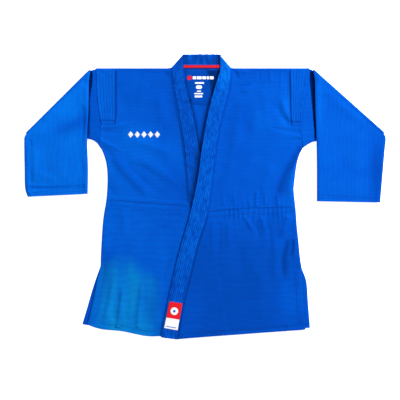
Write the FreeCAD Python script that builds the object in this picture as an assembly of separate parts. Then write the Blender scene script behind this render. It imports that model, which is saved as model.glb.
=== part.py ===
import FreeCAD, Part
import math
import os

# Martial arts jacket lying flat on its back, fronts crossed, sleeves folded down over their roots.
# Millimetres. Origin on the face the jacket rests on, at the centre of the back at waist height.
# +X towards the wearer's left, +Y towards the collar, +Z out of the front.

os.makedirs("parts", exist_ok=True)

# ---------------------------------------------------------------- thicknesses and clearances
CLOTH = 2.0                 # body cloth
TAPE = 1.2                  # facings, tapes, linings and shoulder bands
PRINT = 0.3                 # printed film inside the neck
EMBROIDERY = 0.8            # raised thread work and the lapel patch
LAPEL = 6.0                 # padded lapel band
COLLAR = 7.0                # band behind the neck
COVER = 1.6                 # cloth wrapped round a band's core
SLEEVE_TUBE = 8.8           # flattened sleeve, two cloths and the space between them

GAP = 1.5                   # clear distance on each side of every fold line
FIT = 0.2                   # clearance between a core and its cover, up and down
HOLLOW_EDGE = 0.4           # cover's hollow to its cloth along the long edges
HOLLOW_END = 2.0            # the same at the lapel fold and the neck seam
CORE_PLAY = 0.6             # core to the hollow's edge in plan
SEAM_OVERLAP = 0.5          # turned seam cloth runs this far up into the front
TURN_CLEAR = 0.6            # front linings to the turned cloth
VENT_TURN_CLEAR = 0.4       # vent facings to the turned cloth
OVERRUN = 1.0               # facing masks pass the cloth's edge by this much

# ---------------------------------------------------------------- heights
Z_BACK = 0.0                # underside of the back
Z_INSIDE = Z_BACK + CLOTH   # inner face of the back
Z_FRONT = 6.8               # underside of the fixed fronts and of the lower (right) front
Z_BAND = Z_FRONT + CLOTH    # outer face of the fixed fronts
Z_TOP_FRONT = 12.8          # underside of the upper (left) front
Z_LOW_LAPEL = 5.2
Z_TOP_LAPEL = 11.6
Z_SLEEVE_ROOT = 0.0
Z_SLEEVE = 9.8              # underside of the folded sleeve

# ---------------------------------------------------------------- sizes in plan
SEAM = 3.0                  # cloth turned at the side, shoulder and underarm seams
SHOULDER_Y = 417.0
COLLAR_TOP_Y = 462.0
NECK_SEAM_Y = 420.0
NECK_TAPE_W = 9.0
NECK_TAPE_RAISE = 0.4       # tape's lower edge above the neck seam
YOKE_TOP_Y = 412.0
YOKE_BOTTOM_Y = 309.0
SHOULDER_LINING_Y = 373.0   # lower edge of the lining inside each front shoulder
ARMHOLE_CLEAR = 2.0         # shoulder lining to the armhole
BACK_WAIST_Y = 4.0
WAIST_TAPE_W = 17.0
WAIST_TAPE_INSET = 4.5      # back waist tape to the back's outline
HEM_W = 24.0
VENT_FACING_W = 22.0
CUFF_W = 26.0
ROOT_HOLE_CLEAR = 1.2       # sleeve root's hollow below the shoulder seam turning

FINE_STEP = 16.0            # spacing of points along smoothed outlines
VENT_STEP = HEM_STEP = 40.0
BACK_HEM_STEP = 50.0
LAPEL_STEPS = 48            # divisions along a lapel's hollow and core

FAR = 1200.0                # beyond the whole jacket in plan
MASK_Z = (-50.0, 100.0)     # beyond the whole jacket in height

# Outlines are lists of (x, y).
BACK_NECK = [(-87, NECK_SEAM_Y), (91.5, NECK_SEAM_Y)]
BACK_HEM = [(-356.7, -349.5), (-290, -357), (-120, -366), (0, -369), (150, -367), (327.6, -360)]
YOKE = [
    (-86, YOKE_TOP_Y), (90, YOKE_TOP_Y), (296, YOKE_TOP_Y), (292, 330), (284, YOKE_BOTTOM_Y),
    (-282, YOKE_BOTTOM_Y), (-290, 330), (-294, YOKE_TOP_Y),
]

# bars printed inside the neck: (lower y, upper y, half length)
PRINT_BARS = [(389.0, 394.0, 33.0), (372.0, 384.0, 22.0), (360.0, 366.0, 30.0), (345.0, 352.0, 16.0)]
PRINT_X = -1.5

EMBLEM_X, EMBLEM_Y = -171.5, 220.5      # centre of the row of small diamonds on the chest
EMBLEM_LENGTH, EMBLEM_HEIGHT, EMBLEM_COUNT = 100.0, 20.0, 5
DIAMOND_FILL = 0.42                     # half width of a diamond over the pitch

PATCH = [(-94.5, -279.6), (-55.2, -285.6), (-69.9, -367.8), (-111.3, -360.6)]


# ---------------------------------------------------------------- plan geometry
def between(a, b, t):
    return (a[0] + (b[0] - a[0]) * t, a[1] + (b[1] - a[1]) * t)


def curve(points, step=FINE_STEP):
    """A smooth run of short straight steps through the given points."""
    out = [tuple(map(float, points[0]))]
    last = len(points) - 1
    for i in range(last):
        before, start = points[max(i - 1, 0)], points[i]
        end, after = points[i + 1], points[min(i + 2, last)]
        steps = max(1, int(round(math.dist(start, end) / step)))
        for j in range(1, steps + 1):
            t = j / steps
            out.append(tuple(
                (2 * t**3 - 3 * t**2 + 1) * start[axis]
                + (t**3 - 2 * t**2 + t) * (end[axis] - before[axis]) / 2.0
                + (-2 * t**3 + 3 * t**2) * end[axis]
                + (t**3 - t**2) * (after[axis] - start[axis]) / 2.0
                for axis in (0, 1)
            ))
    return out


def tidy(points, tolerance=0.05):
    """The points without repeats, the closing one included."""
    out = []
    for x, y in points:
        if not out or math.dist((x, y), out[-1]) > tolerance:
            out.append((float(x), float(y)))
    if math.dist(out[0], out[-1]) < tolerance:
        out.pop()
    return out


def resample(points, count):
    """The run of points divided into equal lengths."""
    lengths = [0.0]
    for a, b in zip(points, points[1:]):
        lengths.append(lengths[-1] + math.dist(a, b))
    out = []
    k = 0
    for i in range(count + 1):
        along = lengths[-1] * i / count
        while k < len(lengths) - 2 and lengths[k + 1] < along:
            k += 1
        t = (along - lengths[k]) / (lengths[k + 1] - lengths[k])
        out.append(between(points[k], points[k + 1], t))
    return out


def inset_band(one, other, inset):
    """The band between two edges, narrowed and shortened by the inset on every side."""
    count = LAPEL_STEPS
    one, other = resample(one, count), resample(other, count)
    cut = inset / sum(math.dist(a, b) for a, b in zip(one, one[1:]))
    near, far = [], []
    for i in range(count + 1):
        along = (cut + (1 - 2 * cut) * i / count) * count
        k = min(int(along), count - 1)
        p = between(one[k], one[k + 1], along - k)
        q = between(other[k], other[k + 1], along - k)
        share = inset / math.dist(p, q)
        near.append(between(p, q, share))
        far.append(between(q, p, share))
    return near + far[::-1]


def shifted(points, distance):
    """The same run moved sideways; positive is to the left of the direction of travel."""
    out = []
    last = len(points) - 1
    for i, (x, y) in enumerate(points):
        a, b = points[max(i - 1, 0)], points[min(i + 1, last)]
        scale = distance / math.dist(a, b)
        out.append((x - (b[1] - a[1]) * scale, y + (b[0] - a[0]) * scale))
    return out


def strip(points, one, other, stretch=0.0):
    """A ribbon along a run between two sideways distances, lengthened at both ends."""
    first = between(points[0], points[1], -stretch / math.dist(points[0], points[1]))
    last = between(points[-1], points[-2], -stretch / math.dist(points[-1], points[-2]))
    run = [first] + points[1:-1] + [last]
    return shifted(run, one) + shifted(run, other)[::-1]


# ---------------------------------------------------------------- solids
def slab(points, z0, z1):
    points = tidy(points)
    wire = Part.makePolygon([FreeCAD.Vector(x, y, z0) for x, y in points + points[:1]])
    return Part.Face(wire).extrude(FreeCAD.Vector(0, 0, z1 - z0))


def rectangle(x0, x1, y0, y1):
    return [(x0, y0), (x1, y0), (x1, y1), (x0, y1)]


def mask(points):
    """A prism taller than the jacket, for trimming in plan."""
    return slab(points, *MASK_Z)


def above(line):
    """Everything on the collar side of a waist seam."""
    ends = [(FAR, line[-1][1]), (FAR, FAR), (-FAR, FAR)]
    return mask([(-FAR, line[0][1])] + line + ends)


def beside(line, point, inset=GAP):
    """Everything on the point's side of a fold line, starting at the inset from it."""
    (ax, ay), (bx, by) = line
    length = math.dist(*line)
    ux, uy = (bx - ax) / length, (by - ay) / length
    nx, ny = -uy, ux
    if (point[0] - ax) * nx + (point[1] - ay) * ny < 0:
        nx, ny = -nx, -ny
    reach = 3000.0
    x, y = ax + nx * inset, ay + ny * inset
    return mask([
        (x - ux * reach, y - uy * reach),
        (x + ux * reach, y + uy * reach),
        (x + ux * reach + nx * reach, y + uy * reach + ny * reach),
        (x - ux * reach + nx * reach, y - uy * reach + ny * reach),
    ])


def write(name, shape):
    solids = shape.Solids
    if not solids:
        raise ValueError(name + " has no solid")
    shape = solids[0] if len(solids) == 1 else Part.makeCompound(solids)
    if not shape.isValid():
        raise ValueError(name + " is not valid")
    shape.exportStep("parts/" + name + ".step")


# ---------------------------------------------------------------- the two halves
class Half:
    """Smoothed outlines and masks of one half, worked out from its tables.

    Lapel edges, sleeve and front folds run from the neck or shoulder; the armhole, side seam
    and vents run downwards; hems and waist seams run towards +X; the underarm runs outwards.
    """

    def __init__(self):
        # the lapel's edge nearer the wearer's right, then the one nearer the left
        self.lapel_right, self.lapel_left = curve(self.LAPEL_RIGHT), curve(self.LAPEL_LEFT)
        self.armhole, self.side_seam = curve(self.ARMHOLE), curve(self.SIDE_SEAM)
        self.underarm = curve(self.UNDERARM)
        self.front_vent = curve(self.FRONT_VENT, VENT_STEP)
        self.back_vent = curve(self.BACK_VENT, VENT_STEP)
        self.hem = curve(self.HEM, HEM_STEP)

        # the front cloth starts at the lapel edge nearer its own side seam
        if self.SIGN > 0:
            start = self.lapel_left + self.hem[1:]
        else:
            start = self.lapel_right + self.hem[::-1][1:]
        self.outline = (
            start + self.front_vent[::-1][1:] + self.side_seam[::-1][1:] + self.armhole[::-1][1:]
        )
        self.flap = self.flap_side(GAP)
        self.fixed = beside(self.FRONT_FOLD, (self.SIGN * 300, 200))
        self.above_waist = above(self.WAIST)
        self.waist_mask = mask(strip(self.WAIST, -WAIST_TAPE_W / 2, WAIST_TAPE_W / 2, 40))
        self.hem_mask = mask(strip(self.hem, -OVERRUN, HEM_W, 60))
        self.vent_mask = mask(self.inward(self.front_vent, -OVERRUN, VENT_FACING_W, 3))

        # where the neck band turns over to the front and runs on into the lapel
        turn = self.NECK_END + self.lapel_left + self.lapel_right[::-1]
        self.lapel_turn = slab(turn, *self.TURN_Z).common(self.fixed)

    def flap_side(self, inset):
        return beside(self.FRONT_FOLD, (0, 0), inset)

    def inward(self, points, near, far, stretch=0.0):
        """A ribbon along a downward run, between two distances towards the body's middle."""
        return strip(points, *sorted((-self.SIGN * near, -self.SIGN * far)), stretch)

    def lining(self, z_top):
        return slab(self.outline, z_top - TAPE, z_top)


class Left(Half):
    NAME = "left"
    SIGN = 1
    FLAP_Z, LAPEL_Z = Z_TOP_FRONT, Z_TOP_LAPEL
    TURN_Z = (Z_FRONT, Z_TOP_LAPEL + LAPEL - 0.4)
    FRONT_FOLD = ((57.0, 444.0), (297.0, -192.0))
    SLEEVE_FOLD = ((338.4, 415.8), (551.0, 226.0))
    NECK_END = [(55.5, COLLAR_TOP_Y), (91.5, NECK_SEAM_Y)]
    SHOULDER_X = (92, 326)              # turned shoulder seam
    SHOULDER_LINING_X = (60, 400)       # mask for the shoulder lining
    LAPEL_RIGHT = [
        (57, 417.6), (29.4, 327), (13.8, 255), (-2.1, 162), (-12, 90), (-34.8, -15),
        (-67.5, -129), (-93, -237), (-114.9, -339), (-123.9, -388.5),
    ]
    LAPEL_LEFT = [
        (91.2, 417.6), (85.5, 360), (71.1, 303), (54, 231), (39.6, 132), (19.8, -15),
        (-9.3, -111), (-31.2, -201), (-53.1, -291), (-71.1, -394.2),
    ]
    ARMHOLE = [(326, 417), (318, 357), (308, 300), (303, 249), (302, 215), (306, 180)]
    SIDE_SEAM = [
        (306, 180), (294, 156), (286.2, 123), (280.2, 75), (278.7, 51), (284.7, -6),
        (288, -54), (293, -100), (297, -144), (303, -183),
    ]
    FRONT_VENT = [(303, -183), (303.4, -213), (307, -280), (313.8, -365.4)]
    BACK_VENT = [(303, -183), (316.8, -222), (322, -290), (327.6, -360)]
    HEM = [(-71.1, -394.2), (-3, -388.2), (150, -377), (313.8, -365.4)]
    WAIST = [(0, -21), (20, -19), (126, -9), (285, -4)]
    ARMHOLE_BAND = [
        (267.9, 414), (270.9, 291), (273.9, 249), (299, 249), (304, 300), (314, 357),
        (321, 400), (322, 414),
    ]
    UNDERARM = [(306, 180), (327.6, 195), (348.9, 201.6), (450, 209), (553, 216)]
    ROOT_TIP = (560, 217.9)             # corner past the fold, trimmed off by it
    ROOT_HOLE_TOP_X, ROOT_HOLE_TIP = (250, 336), (600, 190)
    ROOT_HOLE_BOTTOM = (250, 176)
    SLEEVE = [
        (338.4, 415.8), (551.1, 225.9), (555, 213.9), (545.1, 106.8), (537.3, 16.2),
        (347.4, 20.1), (347.4, 210), (342.9, 291), (341.4, 384), (340, 414),
    ]
    SLEEVE_HOLE = [
        (345.5, 420), (350.5, 210), (350.5, -20), (533.5, -20), (541.6, 106.8),
        (551.2, 213.9), (545, 260), (600, 420),
    ]
    CUFF = [(350.6, 20.4 + CUFF_W), (350.6, 20.4), (533.4, 16.7), (535.7, 16.3 + CUFF_W)]
    CUFF_HOLE = [(352.0, 90), (352.0, -20), (532.0, -20), (532.2, 17), (534.4, 90)]


class Right(Half):
    NAME = "right"
    SIGN = -1
    FLAP_Z, LAPEL_Z = Z_FRONT, Z_LOW_LAPEL
    TURN_Z = (Z_LOW_LAPEL, Z_LOW_LAPEL + LAPEL)
    FRONT_FOLD = ((-51.0, 444.0), (-213.0, -381.0))
    SLEEVE_FOLD = ((-334.2, 415.5), (-526.0, 225.0))
    NECK_END = [(-90, NECK_SEAM_Y), (-52.5, COLLAR_TOP_Y)]
    SHOULDER_X = (-316, -90.6)
    SHOULDER_LINING_X = (-400, -60)
    LAPEL_RIGHT = [
        (-90, 417.6), (-78, 343.2), (-60.9, 246), (-52.2, 189), (-40.8, 84), (-33, -15),
        (-18, -130), (3, -260), (21, -374),
    ]
    LAPEL_LEFT = [
        (-52.2, 417.6), (-37.8, 351.9), (-15, 261), (-0.6, 165), (10, 84), (20, -15),
        (36, -130), (56, -260), (73, -370),
    ]
    ARMHOLE = [(-316, 417), (-313, 336), (-304, 270), (-301, 225), (-305, 184)]
    SIDE_SEAM = [
        (-305, 184), (-297.6, 174), (-285.3, 138), (-280.8, 91.2), (-283.8, 30),
        (-294, -36), (-300, -126), (-301.5, -174),
    ]
    FRONT_VENT = [(-301.5, -174), (-312, -220), (-326, -290), (-341.4, -350.1)]
    BACK_VENT = [(-301.5, -174), (-322, -232), (-342, -300), (-356.7, -349.5)]
    HEM = [
        (-341.4, -350.1), (-300, -363.9), (-238.8, -369.9), (-168, -384), (-123.9, -385),
        (-60, -382), (21, -374),
    ]
    WAIST = [(-290, 17), (-160, 8), (-36, -2), (0, -5)]
    ARMHOLE_BAND = [
        (-312, 414), (-309, 336), (-300, 268), (-298, 255), (-262.2, 253.5), (-257.7, 279),
        (-257.7, 414),
    ]
    UNDERARM = [(-305, 184), (-315.9, 198.6), (-342, 209), (-430, 214), (-528, 219)]
    ROOT_TIP = (-534, 217.4)
    ROOT_HOLE_TOP_X, ROOT_HOLE_TIP = (-250, -332), (-580, 190)
    ROOT_HOLE_BOTTOM = (-250, 180)
    SLEEVE = [
        (-334.2, 415.5), (-526.0, 225.0), (-530.1, 216.9), (-529, 120), (-527.1, 45),
        (-516.3, 33), (-339.3, 42), (-338, 120), (-341, 209), (-337, 300), (-335.5, 400),
    ]
    SLEEVE_HOLE = [
        (-339.5, 420), (-340.2, 300), (-344.2, 209), (-341.2, 120), (-342.4, -10),
        (-514, -10), (-513.5, 36.5), (-523.6, 47), (-525.8, 120), (-526.8, 216),
        (-522, 250), (-580, 420),
    ]
    CUFF = [
        (-523.2, 36 + CUFF_W), (-523.4, 47.4), (-513.2, 36.4), (-510, 33.9),
        (-342.6, 42.4), (-342.2, 42 + CUFF_W),
    ]
    CUFF_HOLE = [
        (-521.8, 90), (-522.0, 47.9), (-512.0, 37.4), (-512.0, -20), (-344.0, -20), (-344.0, 90),
    ]


left, right = Left(), Right()
back_hem = curve(BACK_HEM, BACK_HEM_STEP)
back_outline = (
    BACK_NECK
    + left.armhole + left.side_seam[1:] + left.back_vent[1:]
    + back_hem[::-1][1:]
    + right.back_vent[::-1][1:] + right.side_seam[::-1][1:] + right.armhole[::-1][1:]
)


# ---------------------------------------------------------------- back
def back_cloth():
    cloth = slab(back_outline, Z_BACK, Z_BACK + CLOTH)
    above_waist = above([(-FAR, BACK_WAIST_Y), (FAR, BACK_WAIST_Y)])
    write("back_panel", cloth.common(above_waist))
    write("back_skirt", cloth.cut(above_waist))


def neck_print():
    z0 = Z_INSIDE + TAPE
    write("neck_print", Part.makeCompound([
        slab(rectangle(PRINT_X - half, PRINT_X + half, y0, y1), z0, z0 + PRINT)
        for y0, y1, half in PRINT_BARS
    ]))


def back_waist_tape():
    inner = shifted(back_outline + back_outline[:1], -WAIST_TAPE_INSET)[:-1]
    y0, y1 = BACK_WAIST_Y - WAIST_TAPE_W / 2, BACK_WAIST_Y + WAIST_TAPE_W / 2
    tape = slab(inner, Z_INSIDE, Z_INSIDE + TAPE).common(mask(rectangle(-400, 400, y0, y1)))
    write("back_waist_tape", tape)


def side_turn(half):
    """Mask over the side seam's turned cloth, which the vent facings stay clear of."""
    return mask(half.inward(half.side_seam, -OVERRUN, SEAM + VENT_TURN_CLEAR, 0.4))


def back_facings():
    """Hem facing between the two vent facings."""
    lining = slab(back_outline, Z_INSIDE, Z_INSIDE + TAPE)
    hem = lining.common(mask(strip(back_hem, -OVERRUN, HEM_W, 40)))
    for half in (left, right):
        vent = mask(half.inward(half.back_vent, -OVERRUN, VENT_FACING_W, 6))
        hem = hem.cut(vent)
        write(half.NAME + "_back_vent_facing", lining.common(vent).cut(side_turn(half)))
    write("back_hem_facing", hem)


# ---------------------------------------------------------------- band behind the neck
def neck_band():
    """Hollow cover with its ends turned over to the front, and the core inside it."""
    def inside(top_right, top_left, seam_left, seam_right, play):
        top = COLLAR_TOP_Y - COVER - HOLLOW_EDGE - play
        seam = NECK_SEAM_Y + COVER + HOLLOW_END + play
        return [(top_right, top), (top_left, top), (seam_left, seam), (seam_right, seam)]

    plan = right.NECK_END[1:] + left.NECK_END + right.NECK_END[:1]
    hollow_plan = inside(-51.2, 54.2, 84.0, -82.5, 0.0)
    core_plan = inside(-50.6, 53.6, 82.6, -81.1, CORE_PLAY)
    z0, z1 = Z_BACK + COVER, Z_BACK + COLLAR - COVER
    hollow = slab(hollow_plan, z0, z1)

    cover = slab(plan, Z_BACK, Z_BACK + COLLAR).cut(hollow)
    cover = cover.fuse(left.lapel_turn).fuse(right.lapel_turn)
    # the turned ends reach into the hollow, so it is cleared again
    write("collar_neck_cover", cover.cut(hollow).removeSplitter())
    write("collar_neck_core", slab(core_plan, z0 + FIT, z1 - FIT))


def neck_seam_tape():
    bottom, top = NECK_SEAM_Y + NECK_TAPE_RAISE, NECK_SEAM_Y + NECK_TAPE_W
    plan = [(-51, bottom), (55, bottom), (53, top), (-50, top)]
    write("neck_seam_tape", slab(plan, Z_BACK + COLLAR, Z_BACK + COLLAR + TAPE))


# ---------------------------------------------------------------- fixed sides of the fronts
def fixed_front(half):
    """Cloth outside the fold, turned down to the back along the shoulder and side seams."""
    def turned(points):
        wall = slab(points, Z_INSIDE, Z_FRONT + SEAM_OVERLAP)
        return wall.common(mask(half.outline)).common(half.fixed)

    cloth = slab(half.outline, Z_FRONT, Z_FRONT + CLOTH).common(half.fixed)
    side = turned(half.inward(half.side_seam, 0.0, SEAM))
    shoulder = turned(rectangle(*half.SHOULDER_X, SHOULDER_Y - SEAM, SHOULDER_Y))
    upper = half.above_waist
    panel = cloth.common(upper).fuse(side.common(upper)).fuse(shoulder)
    skirt = cloth.cut(upper).fuse(side.cut(upper))
    write(half.NAME + "_side_panel", panel.removeSplitter())
    write(half.NAME + "_side_skirt", skirt.removeSplitter())


def shoulder_lining(half):
    top = SHOULDER_Y - SEAM - TURN_CLEAR
    lining = half.lining(Z_FRONT)
    lining = lining.common(mask(rectangle(*half.SHOULDER_LINING_X, SHOULDER_LINING_Y, top)))
    lining = lining.common(mask(half.inward(half.armhole, ARMHOLE_CLEAR, 900.0)))
    write(half.NAME + "_shoulder_lining", lining.cut(half.lapel_turn).common(half.fixed))


def side_waist_tape(half):
    turn = mask(half.inward(half.side_seam, -2.0, SEAM + TURN_CLEAR))
    tape = half.lining(Z_FRONT).common(half.waist_mask).cut(turn).common(half.fixed)
    write(half.NAME + "_side_waist_tape", tape)


def right_side_facings():
    """Only the right front has hem and vent outside its fold."""
    lining = right.lining(Z_FRONT)
    hem = lining.common(right.hem_mask).cut(right.vent_mask).common(right.fixed)
    write("right_side_hem_facing", hem)
    write("right_front_vent_facing", lining.common(right.vent_mask).cut(side_turn(right)))


def armhole_band(half):
    write(half.NAME + "_armhole_band", slab(half.ARMHOLE_BAND, Z_BAND, Z_BAND + TAPE))


def chest_emblem():
    """A row of raised diamonds on the right of the chest."""
    pitch = EMBLEM_LENGTH / EMBLEM_COUNT
    half_x, half_y = pitch * DIAMOND_FILL, EMBLEM_HEIGHT * 0.5
    diamonds = []
    for i in range(EMBLEM_COUNT):
        x, y = EMBLEM_X + (i - (EMBLEM_COUNT - 1) / 2.0) * pitch, EMBLEM_Y
        plan = [(x - half_x, y), (x, y - half_y), (x + half_x, y), (x, y + half_y)]
        diamonds.append(slab(plan, Z_BAND, Z_BAND + EMBROIDERY))
    write("chest_emblem", Part.makeCompound(diamonds))


# ---------------------------------------------------------------- crossing parts of the fronts
def front_flap(half):
    """Cloth and waist tape of the part that turns about the fold line."""
    cloth = slab(half.outline, half.FLAP_Z, half.FLAP_Z + CLOTH).common(half.flap)
    tape = half.lining(half.FLAP_Z).common(half.waist_mask).common(half.flap)
    write(half.NAME + "_chest_panel", cloth.common(half.above_waist))
    write(half.NAME + "_front_skirt", cloth.cut(half.above_waist))
    write(half.NAME + "_front_waist_tape", tape)


def flap_facings():
    """Hem facings of both flaps, and the vent facing that only the left flap has."""
    top = left.lining(left.FLAP_Z)
    hem = top.common(left.hem_mask).cut(left.vent_mask).common(left.flap)
    write("left_front_hem_facing", hem)
    write("left_front_vent_facing", top.common(left.vent_mask).common(left.flap))
    low = right.lining(right.FLAP_Z)
    write("right_front_hem_facing", low.common(right.hem_mask).common(right.flap))


def lapel(half):
    """Hollow cover and its core, from the fold down to the hem."""
    one, other = half.lapel_right, half.lapel_left
    z0, z1 = half.LAPEL_Z + COVER, half.LAPEL_Z + LAPEL - COVER
    inset, end = COVER + HOLLOW_EDGE, GAP + HOLLOW_END
    cover = slab(one + other[::-1], half.LAPEL_Z, half.LAPEL_Z + LAPEL).common(half.flap)
    hollow = slab(inset_band(one, other, inset), z0, z1).common(half.flap_side(end))
    core = slab(inset_band(one, other, inset + CORE_PLAY), z0 + FIT, z1 - FIT)
    write(half.NAME + "_lapel_cover", cover.cut(hollow))
    write(half.NAME + "_lapel_core", core.common(half.flap_side(end + CORE_PLAY)))


# ---------------------------------------------------------------- sleeves
def tube(half, outline, hole, z0):
    """A flattened tube cut off clear of the sleeve fold."""
    body = slab(outline, z0, z0 + SLEEVE_TUBE)
    body = body.cut(slab(hole, z0 + CLOTH, z0 + SLEEVE_TUBE - CLOTH))
    return body.common(beside(half.SLEEVE_FOLD, (0, 0)))


def sleeve_root(half):
    """From the armhole out to the fold, under the folded sleeve."""
    outline = half.armhole[::-1] + [half.SLEEVE_FOLD[0], half.ROOT_TIP] + half.underarm[::-1]
    top = SHOULDER_Y - SEAM - ROOT_HOLE_CLEAR
    hole = [(x, top) for x in half.ROOT_HOLE_TOP_X] + [half.ROOT_HOLE_TIP]
    hole += shifted(half.underarm, half.SIGN * SEAM)[::-1] + [half.ROOT_HOLE_BOTTOM]
    write(half.NAME + "_sleeve_root", tube(half, outline, hole, Z_SLEEVE_ROOT))


def sleeve(half):
    """Folded part, open at the fold and at the wrist."""
    write(half.NAME + "_sleeve", tube(half, half.SLEEVE, half.SLEEVE_HOLE, Z_SLEEVE))


def cuff_facing(half):
    """A ring of cloth turned up inside the wrist end."""
    z0, z1 = Z_SLEEVE + CLOTH, Z_SLEEVE + SLEEVE_TUBE - CLOTH
    ring = slab(half.CUFF, z0, z1).cut(slab(half.CUFF_HOLE, z0 + TAPE, z1 - TAPE))
    write(half.NAME + "_cuff_facing", ring)


# ---------------------------------------------------------------- build
back_cloth()
write("back_yoke_lining", slab(YOKE, Z_INSIDE, Z_INSIDE + TAPE))
neck_print()
back_waist_tape()
back_facings()
neck_band()
neck_seam_tape()
right_side_facings()
chest_emblem()
flap_facings()
patch_z = Z_TOP_LAPEL + LAPEL
write("left_lapel_patch", slab(PATCH, patch_z, patch_z + EMBROIDERY))
for half in (left, right):
    fixed_front(half)
    shoulder_lining(half)
    side_waist_tape(half)
    armhole_band(half)
    front_flap(half)
    lapel(half)
    sleeve_root(half)
    sleeve(half)
    cuff_facing(half)
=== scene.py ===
# Wrap jacket of woven cotton, lying flat on a pale floor with its front upward. +Z is up off
# the floor and +Y runs from the hem to the neck. The side called left (the wearer's) is on +X,
# and its front and lapel lie over the right ones. Both sleeves are folded down beside the body.
# Lengths are mm unless noted; the scene is in metres.
import math
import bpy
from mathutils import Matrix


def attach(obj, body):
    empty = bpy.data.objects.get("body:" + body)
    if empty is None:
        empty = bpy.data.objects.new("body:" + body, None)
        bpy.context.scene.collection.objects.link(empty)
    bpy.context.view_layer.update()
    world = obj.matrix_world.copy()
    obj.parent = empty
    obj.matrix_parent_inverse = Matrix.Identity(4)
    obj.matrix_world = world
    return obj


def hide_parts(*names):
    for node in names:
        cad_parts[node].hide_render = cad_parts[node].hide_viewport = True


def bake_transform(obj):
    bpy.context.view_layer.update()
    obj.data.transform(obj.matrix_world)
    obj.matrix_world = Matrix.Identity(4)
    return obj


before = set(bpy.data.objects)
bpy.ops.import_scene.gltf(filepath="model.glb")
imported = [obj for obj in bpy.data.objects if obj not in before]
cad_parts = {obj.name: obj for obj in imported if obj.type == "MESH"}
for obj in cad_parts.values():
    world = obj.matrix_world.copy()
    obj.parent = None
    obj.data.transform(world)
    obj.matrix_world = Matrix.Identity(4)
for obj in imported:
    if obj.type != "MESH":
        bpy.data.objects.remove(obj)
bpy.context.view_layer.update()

from types import SimpleNamespace

import bpy
import numpy as np
from mathutils import Vector

MM = 0.001
PI = math.pi

# ---- sizes
SHOULDER_Y = 419.2
CLOTH = 1.8  # thickness of the body cloth
RIM = CLOTH / 2  # radius of its rounded rim
LAPEL_THICK = 5.6
BACK_Z = 2.2  # upper face of the back
LEFT_Z, RIGHT_Z = 10.6, 8.7  # upper faces of the fronts
SEAM_Z = 4.1  # where the fronts meet the back at the side seams
WAIST_RISE = 8.0  # the cut between chest and skirt cloth is this far above the waist line
NECK_LOW, NECK_HEIGHT, NECK_RIBS = 422.6, 38.2, 7
TAPE_LOW, TAPE_HIGH = 420.6, 428.8  # red neck tape, in y
LAPEL_RIBS = 8
LAPEL_RUN = 860.0  # nominal length of a lapel
BAND_GROOVES = 6

# ---- plan outlines: rows of (x, y)
LEFT_FRONT_FOLD = ((57.0, 444.0), (297.0, -192.0))
RIGHT_FRONT_FOLD = ((-51.0, 444.0), (-213.0, -381.0))
LEFT_LAPEL_IN = [
    (57, 417.6), (29.4, 327), (13.8, 255), (-2.1, 162), (-12, 90), (-34.8, -15),
    (-67.5, -129), (-93, -237), (-114.9, -339), (-123.9, -388.5)]
LEFT_LAPEL_OUT = [
    (91.2, 417.6), (85.5, 360), (71.1, 303), (54, 231), (39.6, 132), (19.8, -15),
    (-9.3, -111), (-31.2, -201), (-53.1, -291), (-71.1, -394.2)]
RIGHT_LAPEL_OUT = [
    (-90, 417.6), (-78, 343.2), (-60.9, 246), (-52.2, 189), (-40.8, 84), (-33, -15),
    (-18, -130), (3, -260), (21, -374)]
RIGHT_LAPEL_IN = [
    (-52.2, 417.6), (-37.8, 351.9), (-15, 261), (-0.6, 165), (10, 84), (20, -15),
    (36, -130), (56, -260), (73, -370)]
LEFT_ARMHOLE = [(326, 417), (318, 357), (308, 300), (303, 249), (302, 215), (306, 180)]
LEFT_SEAM = [
    (306, 180), (294, 156), (286.2, 123), (280.2, 75), (278.7, 51), (284.7, -6),
    (288, -54), (293, -100), (297, -144), (303, -183)]
RIGHT_ARMHOLE = [(-316, 417), (-313, 336), (-304, 270), (-301, 225), (-305, 184)]
RIGHT_SEAM = [
    (-305, 184), (-297.6, 174), (-285.3, 138), (-280.8, 91.2), (-283.8, 30),
    (-294, -36), (-300, -126), (-301.5, -174)]
LEFT_FRONT_VENT = [(303, -183), (303.4, -213), (307, -280), (313.8, -365.4)]
LEFT_BACK_VENT = [(303, -183), (316.8, -222), (322, -290), (327.6, -360)]
RIGHT_FRONT_VENT = [(-301.5, -174), (-312, -220), (-326, -290), (-341.4, -350.1)]
RIGHT_BACK_VENT = [(-301.5, -174), (-322, -232), (-342, -300), (-356.7, -349.5)]
LEFT_HEM = [(-71.1, -394.2), (-3, -388.2), (150, -377), (313.8, -365.4)]
RIGHT_HEM = [
    (-341.4, -350.1), (-300, -363.9), (-238.8, -369.9), (-168, -384), (-123.9, -385),
    (-60, -382), (21, -374)]
BACK_HEM = [
    (-356.7, -349.5), (-290, -357), (-120, -366), (0, -369), (150, -367), (327.6, -360)]
LEFT_WAIST = [(0, -21), (20, -19), (126, -9), (285, -4)]
RIGHT_WAIST = [(-290, 17), (-160, 8), (-36, -2), (0, -5)]
LEFT_BAND_IN = [(267.9, 419.2), (270.9, 291), (273.9, 247)]
LEFT_BAND_OUT = [(325.5, 419.2), (321, 392), (316, 357), (306, 300), (301, 247)]
RIGHT_BAND_IN = [(-257.7, 419.2), (-257.7, 279), (-262.2, 250.5)]
RIGHT_BAND_OUT = [(-315, 419.2), (-311, 336), (-305, 285), (-298, 252.5)]
LAPEL_PATCH = [(-94.5, -279.6), (-55.2, -285.6), (-69.9, -367.8), (-111.3, -360.6)]


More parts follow.
